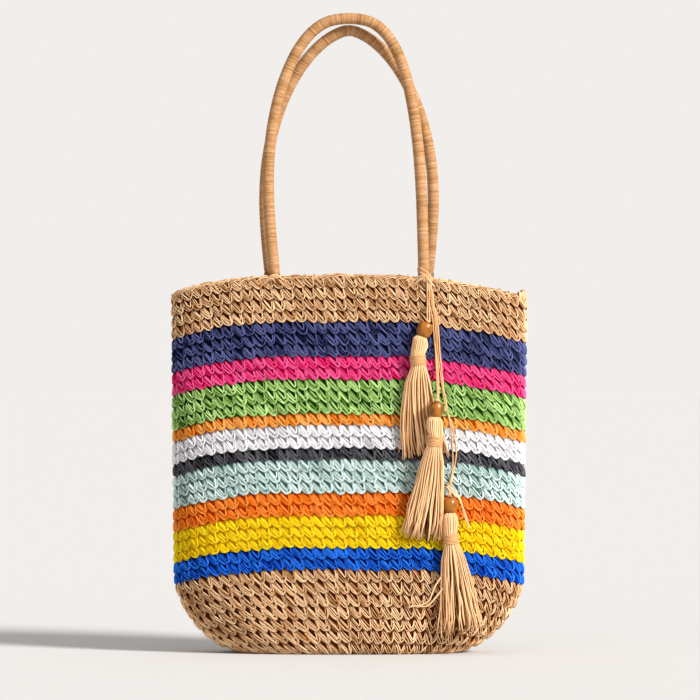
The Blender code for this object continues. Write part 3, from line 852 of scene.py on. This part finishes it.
@dataclass
class RopeHandle:
    """A rope arch in a tight winding of yarn, with its feet sewn to the rim."""

    name: str
    body: Body
    face: Face
    feet: float
    span: float
    rise: float
    crown: float
    swing: float
    surface: BagSurface
    radius: float = 5.75 * MM
    wall: float = 6.0 * MM
    seat: float = 0.3 * MM
    widest_at: float = 74 * MM
    crown_gap: float = 2 * MM
    leg_steps: int = 3
    arch_steps: int = 9
    turn_width: float = 1.15 * MM
    ridge: float = 0.11 * MM
    sides: int = 12
    stitch_spread: float = 5.2 * MM
    stitch_depth: float = 5.0 * MM

    def foot(self, side: int) -> Array:
        """The middle of a foot, on the hinge line, where side is -1 on the left and 1 on the right."""
        x = side * self.feet / 2
        y = self.face.value * (self.surface.front(x, self.surface.rim_top(x)) - self.wall / 2)
        return np.array([x, y, self.surface.rim_top(x) + self.radius + self.seat])

    def middle_line(self) -> Array:
        """The rope's middle line from the left foot over the crown to the right foot."""
        foot = self.foot(1)
        lean = self.face.value * (self.radius + self.crown_gap / 2) - foot[1]
        legs = np.arange(self.leg_steps)
        up = list(self.widest_at * legs / self.leg_steps)
        out = list(self.feet + (self.span - self.feet) * np.sin(np.pi / 2 * legs / self.leg_steps))
        for step in range(self.arch_steps + 1):
            angle = math.pi / 2 * step / self.arch_steps
            up.append(self.widest_at + (self.rise - self.widest_at) * math.sin(angle))
            out.append(self.span * max(0.0, math.cos(angle)) ** (2 * self.crown))
        side = np.array([(o / 2, foot[1] + lean * u / self.rise, foot[2] + u) for o, u in zip(out, up)])
        line = np.vstack([side * np.array([-1, 1, 1]), side[-2::-1]])
        line[:, 0] += self.swing * np.sin(np.pi * (line[:, 2] - foot[2]) / self.rise)
        return line

    def build(self) -> list[bpy.types.Object]:
        """Winds the handle and sews its feet.

        Returns:
            The winding and the feet's yarn.
        """
        pieces = [self.wind()]
        for side, word in ((-1, "left"), (1, "right")):
            pieces.append(self.sew(side, word))
            pieces.append(self.lash(side, word))
        core = bpy.data.objects[f"{self.name}_rope_core"]
        core.data.materials.clear()
        core.data.materials.append(bpy.data.materials.get("cotton rope")
                                   or LaidRope("cotton rope", "#A08A66", "#CFC0A2").build())
        return pieces

    def wind(self) -> bpy.types.Object:
        """Winds the yarn: a fine ridge that runs round and round the rope, in slow patches of lightness."""
        line = smooth_line(self.middle_line(), self.turn_width / 3)
        along = directions(line[None])[0]
        face = unit(np.cross(np.array([1.0, 0, 0]), line[len(line) // 2] - line[0]))
        out = unit(np.cross(face, along))
        turn = 2 * np.pi * np.arange(self.sides) / self.sides
        walked = np.arange(len(line)) * np.linalg.norm(line[1] - line[0])
        chance = np.random.default_rng(5)
        drift = np.interp(walked, np.linspace(0, walked[-1], 60), chance.normal(0, 0.25, 60))
        wound = (walked / self.turn_width + drift)[:, None] - turn[None] / (2 * np.pi)
        number = np.floor(wound).astype(int)
        patches = np.interp(walked, np.linspace(0, walked[-1], 90), chance.normal(0, 0.03, 90))
        tones = 0.5 + np.clip(chance.normal(0, 0.07, 4096), -0.14, 0.14)[(number * 7) % 4096] + patches[:, None]
        sizes = chance.normal(0, 0.04 * MM, 4096)[(number * 11) % 4096]
        ends = np.minimum(walked, walked[-1] - walked)
        round_off = np.sqrt(np.clip(1 - np.clip(1 - ends / (0.5 * self.radius), 0, 1) ** 2 * 0.12, 0, 1))
        radius = (self.radius - self.ridge + self.ridge * np.cos(2 * np.pi * wound) + sizes) * round_off[:, None]
        ring = out[:, None] * np.cos(turn)[None, :, None] + face * np.sin(turn)[None, :, None]
        rings = line[:, None] + ring * radius[:, :, None]
        tip = self.radius * 0.92
        caps = [line[i] + step * along[i] * tip + (ring[i] * self.radius * 0.85) for i, step in ((0, -1), (-1, 1))]
        rings = np.concatenate([caps[0][None], rings, caps[1][None]])
        tones = np.concatenate([tones[:1], tones, tones[-1:]])
        grain = np.stack(np.broadcast_arrays(turn[None] * self.radius, wound, number * 0.37), axis=-1)
        grain = np.concatenate([grain[:1], grain, grain[-1:]])
        mesh = YarnMesh()
        mesh.rings(rings[None], tones[None], grain[None])
        piece = mesh.build(f"{self.name}_winding", Yarn.HANDLE.material())
        return dress(piece, self.body, Yarn.HANDLE.slot, f"{self.name}_yarn_wrap")

    def sew(self, side: int, word: str) -> bpy.types.Object:
        """Makes the strand that runs through a foot and down into the rim on both sides of it.

        Args:
            side: -1 for the left foot and 1 for the right.
            word: That side in the piece's name.

        Returns:
            The strand.
        """
        foot = self.foot(side)
        left, right = (foot + np.array([s * self.stitch_spread, 0, 0]) for s in (-1, 1))
        bottom = self.surface.rim_top(foot[0]) - self.stitch_depth
        bend = 2.2 * MM
        places = np.array([(left[0], left[1], bottom), (left[0], left[1], foot[2] - bend),
                           (left[0] + 0.3 * bend, left[1], foot[2] - 0.3 * bend), (left[0] + bend, left[1], foot[2]),
                           foot, (right[0] - bend, right[1], foot[2]),
                           (right[0] - 0.3 * bend, right[1], foot[2] - 0.3 * bend),
                           (right[0], right[1], foot[2] - bend), (right[0], right[1], bottom)])
        line = smooth_line(places, 0.8 * MM)
        mesh = YarnMesh()
        for ply in range(2):
            turn = np.arange(len(line)) * 0.45 + math.pi * ply
            aside = np.stack([np.zeros(len(line)), np.cos(turn), np.sin(turn)], axis=1) * 0.36 * MM
            mesh.strands((line + aside)[None], np.array([0, 1.0, 0.3]), 0.48 * MM, 0.48 * MM, 0.4 + 0.06 * ply)
        piece = mesh.build(f"{self.name}_{word}_foot_strand", Yarn.HANDLE.material())
        return dress(piece, Body.BAG, Yarn.HANDLE.slot, f"{self.name}_{word}_stitch")

    def lash(self, side: int, word: str) -> bpy.types.Object:
        """Makes the crochet that climbs round a foot, in front of it and behind it.

        Args:
            side: -1 for the left foot and 1 for the right.
            word: That side in the piece's name.

        Returns:
            The crochet at the foot.
        """
        foot = self.foot(side)
        top = self.surface.rim_top(foot[0])
        mesh = YarnMesh()
        chance = np.random.default_rng(31 + side + 5 * self.face.value)
        climb = np.array([(-12.5, -4.8, 0.2), (-9.0, -2.8, 1.0), (-5.4, -0.4, 2.3), (-1.8, 1.6, 3.4), (1.6, 1.7, 3.3),
                          (4.4, 0.2, 2.0), (6.4, -2.2, -0.6)]) * MM
        paths, outs = [], []
        for way in (-1, 1):
            for strand in range(8):
                mirror = 1 if strand % 2 else -1
                pair = strand // 2
                lower = pair * 1.55 * MM + (0.7 * MM if mirror > 0 else 0.0)
                step = climb * np.array([mirror * (1 - 0.13 * pair), 1 + 0.1 * pair, 1]) \
                    + chance.normal(0, 0.26 * MM, (7, 3))
                x = foot[0] + step[:, 0] - mirror * 0.8 * MM * pair + chance.normal(0, 0.5 * MM)
                y = foot[1] + way * (2.7 * MM + step[:, 2] + 0.35 * lower)
                paths.append(np.stack([x, y, top + step[:, 1] - lower], axis=1))
                outs.append(np.stack([0 * x, np.full_like(x, way), 0.35 + 0 * x], axis=1))
        mesh.strands(np.stack(paths), unit(np.stack(outs)), 0.52 * MM, 0.56 * MM,
                     0.46 + chance.normal(0, 0.14, len(paths)))
        piece = mesh.build(f"{self.name}_{word}_foot_crochet", Yarn.TAN.material())
        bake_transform(piece)
        LOG.info("%s: %d faces across the hinge", piece.name, len(piece.data.polygons))
        return piece


# ---------------------------------------------------------------- the charm


@dataclass
class Knot:
    """The hitch beside the front handle's right foot, where the charm starts."""

    surface: BagSurface
    feet: float
    beside_foot: float = 6.3 * MM
    below_rim: float = 9.0 * MM
    radius: float = 2.6 * MM
    seat: float = 0.3 * MM
    wall: float = 6.0 * MM

    def place(self) -> Array:
        """The middle of the hitch, against the front of the rim."""
        x = self.feet / 2 + self.beside_foot
        z = self.surface.rim_top(x) - self.below_rim
        return np.array([x, -(self.surface.front(x, z) + self.radius + self.seat), z])

    def hang(self, right: float, down: float, stand_off: float) -> Array:
        """A place on the charm.

        Args:
            right: Distance to the right of the knot.
            down: Distance below it.
            stand_off: Distance in front of the bag.

        Returns:
            The point, which below the belly hangs straight down from it.
        """
        knot = self.place()
        x, z = knot[0] + right, knot[2] - down
        belly = self.surface.belly_at * self.surface.rim_height
        return np.array([x, -(self.surface.front(x, max(z, belly)) + stand_off), z])

    def build(self, handle: RopeHandle) -> list[bpy.types.Object]:
        """Makes the hitch over the rim and the lashing round the handle's foot.

        Args:
            handle: The handle whose foot carries the lashing.

        Returns:
            The two pieces.
        """
        knot, foot = self.place(), handle.foot(1)
        mesh = YarnMesh()
        chance = np.random.default_rng(8)
        for strand in range(5):
            x = knot[0] - 1.0 * MM + (strand - 2) * 0.95 * MM
            top = self.surface.rim_top(x)
            front, inside = knot[1] + self.radius * 0.3, knot[1] + self.radius + self.wall + 2.0 * MM
            if strand % 2:  # over the rim and down inside
                places = np.array([(x + 0.4 * MM, front, knot[2] - 5 * MM), (x, front - 0.6 * MM, knot[2]),
                                   (x - 0.3 * MM, front, top - 2 * MM),
                                   (x - 0.6 * MM, front + 2.5 * MM, top + 1.4 * MM),
                                   (x - 0.8 * MM, inside - 2.5 * MM, top + 1.5 * MM),
                                   (x - 0.6 * MM, inside, top - 2 * MM), (x, inside - 0.6 * MM, knot[2] + 1 * MM),
                                   (x, inside - 3 * MM, knot[2] - 1 * MM)])
            else:  # up to the lashing on the foot
                places = np.array([(x + 0.5 * MM, front, knot[2] - 7 * MM), (x, front - 1.0 * MM, knot[2]),
                                   (x - 0.3 * MM, front - 1.2 * MM, top - 3 * MM),
                                   (x - 0.8 * MM, foot[1] - handle.radius - 0.6 * MM, top + 1.5 * MM),
                                   (x - 1.8 * MM, foot[1] - handle.radius * 0.8, top + 3.5 * MM)])
            places += chance.normal(0, 0.12 * MM, places.shape)
            line = smooth_line(places, 1.4 * MM)
            turn = np.linspace(0, math.pi if strand % 2 else 0.3, len(line))
            out = np.stack([0 * turn, -np.cos(turn), 0.2 + np.sin(turn)], axis=1)
            mesh.strands(line[None], unit(out)[None], 0.60 * MM, 0.5 * MM, 0.62 + chance.normal(0, 0.08))
        hitch = mesh.build("charm_hitch", Yarn.RAFFIA.material())
        dress(hitch, Body.BAG, Yarn.RAFFIA.slot, "charm_knot")

        mesh = YarnMesh()
        # The second and third strands are painted dark: painted shade in the gap under the first strand.
        for strand, (drop, tone) in enumerate(((0.0, 0.62), (1.7, 0.22), (3.2, 0.30), (4.5, 0.60))):
            turn = np.linspace(0, 2 * np.pi, 28)
            size = handle.radius + (0.55 + 0.12 * (strand % 2)) * MM
            fall = 3.2 * MM - 7.6 * MM * ((1 + np.cos(turn)) / 2) ** 1.5 - drop * MM
            path = foot + np.stack([size * np.cos(turn), size * np.sin(turn), fall], axis=1)
            out = np.stack([np.cos(turn), np.sin(turn), 0 * turn], axis=1)
            mesh.strands(path[None], out[None], 0.52 * MM, 0.42 * MM, tone)
        lashing = mesh.build("charm_lashing", Yarn.RAFFIA.material())
        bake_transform(lashing)
        LOG.info("%s: %d faces across the hinge", lashing.name, len(lashing.data.polygons))
        return [hitch, lashing]


@dataclass
class Tassel:
    """A cord with a bead and a tassel: its places are measured from the knot, right and down."""

    name: str
    bead: tuple[float, float]
    tilt: float
    neck: tuple[float, float]
    end: tuple[float, float]
    end_wide: float
    end_thick: float
    extra: float
    route: tuple[tuple[float, float, float], ...]
    knot: Knot
    wisps: tuple[tuple[tuple[float, float, float], ...], ...] = ()
    bow: float = 0.0
    loop: float = 0.0
    loop_down: float = 163 * MM
    gap: float = 0.3 * MM
    bead_radius: float = 8.0 * MM
    bead_height: float = 14.6 * MM
    bead_end: float = 5.6 * MM
    bead_hole: float = 2.0 * MM
    head: float = 8.4 * MM
    neck_radius: float = 7.0 * MM
    binding: float = 0.9 * MM
    binding_height: float = 10.5 * MM
    cord_diameter: float = 2.2 * MM
    layers: tuple[tuple[int, float], ...] = ((25, 1.0), (25, 0.86), (20, 0.66), (14, 0.40))
    strand: float = 0.74 * MM
    parts: list[bpy.types.Object] = field(default_factory=list)

    def bead_frame(self) -> tuple[Array, Array]:
        """The middle of the bead, and the direction up its hole."""
        tilt = math.radians(self.tilt)
        axis = np.array([math.sin(tilt), 0, math.cos(tilt)])
        return self.knot.hang(*self.bead, self.bead_radius + 2 * self.gap + self.extra), axis

    def stations(self) -> list[tuple[Array, Array, float, float]]:
        """Middle, direction, half-width and half-thickness at stations from the head to the skirt's end."""
        bead, axis = self.bead_frame()
        top = bead - axis * (self.bead_height / 2 + self.gap)
        neck = self.knot.hang(*self.neck, self.neck_radius + self.binding + 3 * self.gap + self.extra)
        end = self.knot.hang(*self.end, self.end_thick + 4 * self.gap)
        drop = unit(end - neck)
        shoulder = top - axis * 0.35 * self.head
        half = drop * self.binding_height / 2
        found = [(top + axis * 0.1 * self.head, -axis, 0.16 * self.head, 0.16 * self.head),
                 (top - axis * 0.08 * self.head, -axis, 0.66 * self.head, 0.66 * self.head),
                 (shoulder * 0.94 + neck * 0.06, -axis, 0.93 * self.head, 0.93 * self.head),
                 (shoulder * 0.6 + neck * 0.4, drop, 0.98 * self.head, 0.98 * self.head),
                 (neck - half * 1.05, drop, self.neck_radius, self.neck_radius),
                 (neck + half * 1.05, drop, self.neck_radius, self.neck_radius)]
        for share in (0.22, 0.38, 0.54, 0.70, 0.85, 1.0):
            wide = self.neck_radius + (self.end_wide - self.neck_radius) * share ** 0.75
            thick = self.neck_radius + (self.end_thick - self.neck_radius) * share
            aside = np.array([self.bow * math.sin(math.pi * share), 0, 0])
            found.append((neck + (end - neck) * share + aside, drop, wide, thick))
        return found

    def build(self) -> list[bpy.types.Object]:
        """Strings the cord, turns the bead and ties the tassel.

        Returns:
            The pieces, with the cord first.
        """
        self.parts = [self.turn_bead(), self.tie_strands(), self.bind_neck()]
        return [self.string_cord(), *self.parts]

    def turn_bead(self) -> bpy.types.Object:
        """Makes the barrel bead with its hole."""
        middle, axis = self.bead_frame()
        half = self.bead_height / 2
        share = np.linspace(-1, 1, 19)
        swell = self.bead_end + (1 - np.abs(share) ** 2.2) * (self.bead_radius - self.bead_end)
        edge = 0.5 * MM
        outline = [(-half + edge, self.bead_hole), (-half, self.bead_hole + edge), (-half, self.bead_end - edge),
                   *((half * s, w) for s, w in zip(share[1:-1] * 0.985, swell[1:-1])),
                   (half, self.bead_end - edge), (half, self.bead_hole + edge), (half - edge, self.bead_hole)]
        side = unit(np.cross(axis, np.array([0, 1.0, 0])))
        front = unit(np.cross(axis, side))
        turn = 2 * np.pi * np.arange(40) / 40
        ring = side * np.cos(turn)[:, None] + front * np.sin(turn)[:, None]
        rings = np.stack([middle + axis * at + ring * wide for at, wide in outline])
        at = np.array([o[0] for o in outline])
        grain = np.stack(np.broadcast_arrays(at[:, None], turn[None] / 6.28, len(self.name) * 3.1), axis=-1)
        mesh = YarnMesh()
        mesh.rings(rings[None], 0.5, grain[None], closed=True)
        wood = bpy.data.materials.get("varnished beech")
        wood = wood or VarnishedWood("varnished beech", "#442204", "#A86404").build()
        return dress(mesh.build(f"{self.name}_turned_bead", wood), Body.BAG, "varnished_wood", f"{self.name}_bead")

    def tie_strands(self) -> bpy.types.Object:
        """Lays every strand from the head, through the neck, to the end of the skirt."""
        chance = np.random.default_rng(200 + len(self.name) + round(self.tilt))
        places, along, wide, thick = (np.array(v) for v in zip(*self.stations()))
        side = unit(np.cross(along, np.array([0, 1.0, 0])))
        front = unit(np.cross(side, along))
        mesh = YarnMesh()
        loose = np.clip((np.arange(len(places)) - 5) / 6, 0, 1)
        skirt = loose ** 1.4
        for number, share in self.layers:
            turn = 2 * np.pi * (np.arange(number) + chance.uniform(-0.25, 0.25, number)) / number
            clump = 0.16 * np.sin(4 * turn + 1.3 * self.tilt)
            bend = turn[:, None] + skirt * (clump + chance.normal(0, 0.17, number))[:, None]
            size = share * (1 + skirt * chance.normal(-0.04, 0.10, number)[:, None])
            inset = np.maximum(size - 0.06, 0.05)
            across = np.cos(bend) * wide * inset
            deep = np.sin(bend) * thick * inset
            wave = chance.normal(0, 1.1 * MM, (number, len(places))) * skirt
            paths = places + side * (across + wave)[..., None] + front * deep[..., None]
            longer = chance.normal(0, 2.2 * MM, number) - 1.5 * MM
            paths = paths + along * (loose ** 3 * longer[:, None])[..., None]
            outs = side * np.cos(bend)[..., None] + front * np.sin(bend)[..., None]
            # Inner layers are painted darker and the outer layer lighter: painted shade inside the tassel and painted
            # light on its outside, with a random tone on top.
            tones = 1.15 * share - 0.36 + np.clip(chance.normal(0, 0.24, number), -0.48, 0.40)
            mesh.strands(paths, outs, self.strand * (1 + chance.normal(0, 0.12, number)), 0.62 * MM, tones,
                         twist=30 * MM)
        for wisp in self.wisps:
            line = smooth_line(np.array([self.knot.hang(*place) for place in wisp]), 3 * MM)
            mesh.strands(line[None], np.array([0, -1.0, 0]), 0.8 * MM, 0.5 * MM, 0.8)
        piece = mesh.build(f"{self.name}_tassel_strands", Yarn.RAFFIA.material())
        return dress(piece, Body.BAG, Yarn.RAFFIA.slot, f"{self.name}_tassel")

    def bind_neck(self) -> bpy.types.Object:
        """Winds the yarn round the neck."""
        stations = self.stations()
        top, bottom, drop = stations[4][0], stations[5][0], stations[4][1]
        side = unit(np.cross(drop, np.array([0, 1.0, 0])))
        front = unit(np.cross(side, drop))
        turns = 7
        turn = np.linspace(0, 2 * np.pi * turns, turns * 22)
        share = 0.07 + 0.86 * turn / turn[-1]
        size = self.neck_radius + self.gap + self.binding / 2 + 0.1 * MM * np.sin(turn * 0.37)
        path = top + (bottom - top) * share[:, None] \
            + side * (size * np.cos(turn))[:, None] + front * (size * np.sin(turn))[:, None]
        out = side * np.cos(turn)[:, None] + front * np.sin(turn)[:, None]
        mesh = YarnMesh()
        mesh.strands(path[None], out[None], 0.66 * MM, 0.52 * MM, 0.38, sides=6)
        piece = mesh.build(f"{self.name}_binding_turns", Yarn.RAFFIA.material())
        return dress(piece, Body.BAG, Yarn.RAFFIA.slot, f"{self.name}_binding")

    def string_cord(self) -> bpy.types.Object:
        """Lays the cord's two strands from the knot, through the bead, to their ends in the skirt."""
        bead, axis = self.bead_frame()
        places = [self.knot.hang(x, z, self.cord_diameter / 2 + 2 * self.gap + extra) for x, z, extra in self.route]
        places += [bead + axis * (self.bead_height / 2 + 2 * MM), bead, bead - axis * (self.bead_height / 2)]
        places += [station[0] for station in self.stations()[2:-3]]
        line = smooth_line(np.array(places), 2.5 * MM)
        along = directions(line[None])[0]
        side = unit(np.cross(along, np.array([0, 1.0, 0])))
        front = unit(np.cross(side, along))
        chance = np.random.default_rng(400 + len(self.name))
        mesh = YarnMesh()
        down = self.knot.place()[2] - line[:, 2]
        spread = 0.78 * MM + self.loop * np.exp(-((down - self.loop_down) / (15 * MM)) ** 2)
        for ply, way in enumerate((-1, 1)):
            knots = np.arange(0, len(line) + 5, 5)
            wander = np.interp(np.arange(len(line)), knots, chance.normal(0, 0.28 * MM, len(knots)))
            aside = side * (way * spread + wander)[:, None] + front * (0.25 * way * MM)
            mesh.strands((line + aside)[None], -front[None], 0.72 * MM, 0.52 * MM, 0.38 + 0.14 * ply, twist=40 * MM)
        collar = bead + axis * (self.bead_height / 2 + 0.9 * MM)
        turn = np.linspace(0, 4 * np.pi, 30)
        across, towards = unit(np.cross(axis, np.array([0, 1.0, 0]))), unit(np.cross(axis, side[0]))
        ring = across * np.cos(turn)[:, None] + towards * np.sin(turn)[:, None]
        mesh.strands((collar + ring * 2.1 * MM + axis * (turn * 0.10 * MM)[:, None])[None], ring[None], 0.5 * MM,
                     0.45 * MM, 0.6)
        piece = mesh.build(f"{self.name}_cord_strands", Yarn.RAFFIA.material())
        dress(piece, Body.BAG, Yarn.RAFFIA.slot, f"{self.name}_cord")
        tuple(self.knot.place())
        return piece


def charm_tassels(knot: Knot) -> list[Tassel]:
    """The three tassels of the charm, with the routes of their cords as the solids have them.

    Args:
        knot: The knot that they hang from.

    Returns:
        The upper, middle and lower tassel.
    """
    upper = Tassel("upper", (-5.6 * MM, 43.8 * MM), 22, (-12.2 * MM, 74.5 * MM), (-5.0 * MM, 170.5 * MM),
                   25.5 * MM, 5.0 * MM, 0.0,
                   ((-0.0025, 0.0034, 0.0), (-0.0024, 0.0150, 0.0), (-0.0022, 0.0260, 0.0035)), knot, bow=-3.2 * MM)
    middle = Tassel("middle", (5.4 * MM, 123.2 * MM), 8, (4.2 * MM, 154.0 * MM), (-9.0 * MM, 250.5 * MM),
                    21.0 * MM, 6.0 * MM, 13.5 * MM,
                    ((-0.0004, 0.0034, 0.0), (0.0002, 0.0180, 0.0), (0.0034, 0.0330, 0.0), (0.0048, 0.0480, 0.0),
                     (0.0058, 0.0690, 0.0), (0.0072, 0.0900, 0.0050), (0.0076, 0.1060, 0.0135)), knot, bow=0.8 * MM)
    lower = Tassel("lower", (19.3 * MM, 218.7 * MM), 0, (20.2 * MM, 252.0 * MM), (31.0 * MM, 343.5 * MM),
                   24.0 * MM, 8.0 * MM, 0.0,
                   ((0.0020, 0.0034, 0.0), (0.0028, 0.0180, 0.0), (0.0062, 0.0330, 0.0), (0.0078, 0.0480, 0.0),
                    (0.0090, 0.0690, 0.0), (0.0112, 0.0900, 0.0), (0.0138, 0.1100, 0.0), (0.0182, 0.1290, 0.0),
                    (0.0222, 0.1445, 0.0), (0.0238, 0.1590, 0.0), (0.0238, 0.1710, 0.0), (0.0226, 0.1840, 0.0),
                    (0.0204, 0.1960, 0.0030)), knot, loop=1.5 * MM,
                   wisps=(((0.0120, 0.2880, 0.009), (0.0044, 0.2990, 0.010), (-0.0014, 0.3130, 0.008),
                           (-0.0094, 0.3180, 0.006), (-0.0121, 0.3170, 0.005)),
                          ((0.0130, 0.3000, 0.010), (0.0048, 0.3105, 0.010), (-0.0036, 0.3188, 0.008),
                           (-0.0140, 0.3188, 0.005), (-0.0226, 0.3200, 0.003)),
                          ((0.0148, 0.1994, 0.012), (0.0200, 0.2045, 0.016), (0.0275, 0.2110, 0.014),
                           (0.0344, 0.2270, 0.008), (0.0388, 0.2418, 0.004)),
                          ((0.0160, 0.1970, 0.012), (0.0215, 0.2030, 0.016), (0.0290, 0.2120, 0.013),
                           (0.0330, 0.2260, 0.008), (0.0366, 0.2370, 0.005))))
    return [upper, middle, lower]


# ---------------------------------------------------------------- the studio


@dataclass
class Studio:
    """A pale floor, plain soft light and a level camera in front of the bag."""

    distance: float = 5.05
    front_face: float = 0.045
    look_across: float = 1 * MM
    look_height: float = 303.5 * MM
    view_width: float = 697 * MM
    sensor: float = 36.0
    paper: str = "#F1EEEB"
    sky: float = 0.60
    sun_power: float = 4.95
    sun_from: tuple[float, float, float] = (0.74, -0.58, 0.54)
    sun_angle: float = 16.0

    def build(self) -> None:
        """Sets up the whole studio."""
        bpy.context.scene.view_settings.view_transform = "Standard"
        self.add_camera()
        self.add_floor()
        self.add_light()

    def add_camera(self) -> None:
        """Adds the camera, level with the middle of the picture, one millimetre to a pixel at the bag's front."""
        data = bpy.data.cameras.new("camera")
        data.sensor_width = self.sensor
        data.lens = self.sensor * (self.distance - self.front_face) / self.view_width
        data.clip_end = 50
        camera = bpy.data.objects.new("camera", data)
        camera.location = (self.look_across, -self.distance, self.look_height)
        camera.rotation_euler = (math.pi / 2, 0, 0)
        bpy.context.scene.collection.objects.link(camera)
        bpy.context.scene.camera = camera

    def add_floor(self) -> None:
        """Adds the floor: matt pale paper, with a faint mottle of its fibres."""
        data = bpy.data.meshes.new("floor")
        far = 30.0
        data.from_pydata([(-far, -far, 0), (far, -far, 0), (far, far, 0), (-far, far, 0)], [], [(0, 1, 2, 3)])
        material, tree = new_material("matt paper")
        place = add_node(tree, "ShaderNodeTexCoord")
        fibres = add_node(tree, "ShaderNodeTexNoise", {"Vector": place.outputs["Object"], "Scale": 40.0})
        colour = ramp(tree, fibres.outputs["Fac"], [(0.0, linear("#D0CDCA")), (1.0, linear("#D4D1CE"))])
        shader = add_node(tree, "ShaderNodeBsdfPrincipled", {"Base Color": colour.outputs["Color"], "Roughness": 0.95,
                                                             "Specular IOR Level": 0.1})
        add_node(tree, "ShaderNodeOutputMaterial", {"Surface": shader.outputs[0]})
        data.materials.append(material)
        floor = bpy.data.objects.new("floor", data)
        bpy.context.scene.collection.objects.link(floor)

    def add_light(self) -> None:
        """Adds an even sky, shown to the camera as pale paper, and a soft key light from the upper right."""
        world = bpy.data.worlds.new("studio")
        world.use_nodes = True
        tree = world.node_tree
        tree.nodes.clear()
        path = add_node(tree, "ShaderNodeLightPath")
        lit = add_node(tree, "ShaderNodeBackground", {"Color": (1, 1, 1, 1), "Strength": self.sky})
        shown = add_node(tree, "ShaderNodeBackground", {"Color": linear(self.paper), "Strength": 1.0})
        either = add_node(tree, "ShaderNodeMixShader", {"Fac": path.outputs["Is Camera Ray"], 1: lit.outputs[0],
                                                        2: shown.outputs[0]})
        add_node(tree, "ShaderNodeOutputWorld", {"Surface": either.outputs[0]})
        bpy.context.scene.world = world
        data = bpy.data.lights.new("key", "SUN")
        data.energy = self.sun_power
        data.angle = math.radians(self.sun_angle)
        key = bpy.data.objects.new("key", data)
        key.rotation_euler = Vector(self.sun_from).to_track_quat("Z", "Y").to_euler()
        bpy.context.scene.collection.objects.link(key)


def main() -> None:
    """Builds the studio and every piece of the bag."""
    logging.basicConfig(level=logging.INFO, format="%(message)s")
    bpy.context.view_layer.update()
    surface = BagSurface()
    Studio().build()

    front = RopeHandle("front_handle", Body.FRONT_HANDLE, Face.FRONT, 149.4 * MM, 153.0 * MM, 253.0 * MM, 0.39,
                       -5.0 * MM, surface)
    back = RopeHandle("back_handle", Body.BACK_HANDLE, Face.BACK, 160.0 * MM, 170.0 * MM, 242.0 * MM, 0.60, 0.0,
                      surface)
    knot = Knot(surface, front.feet)
    for tassel in charm_tassels(knot):
        tassel.build()
    knot.build(front)
    CrochetBody(surface).build()
    front.build()
    back.build()

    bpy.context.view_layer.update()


if __name__ == "__main__":
    main()
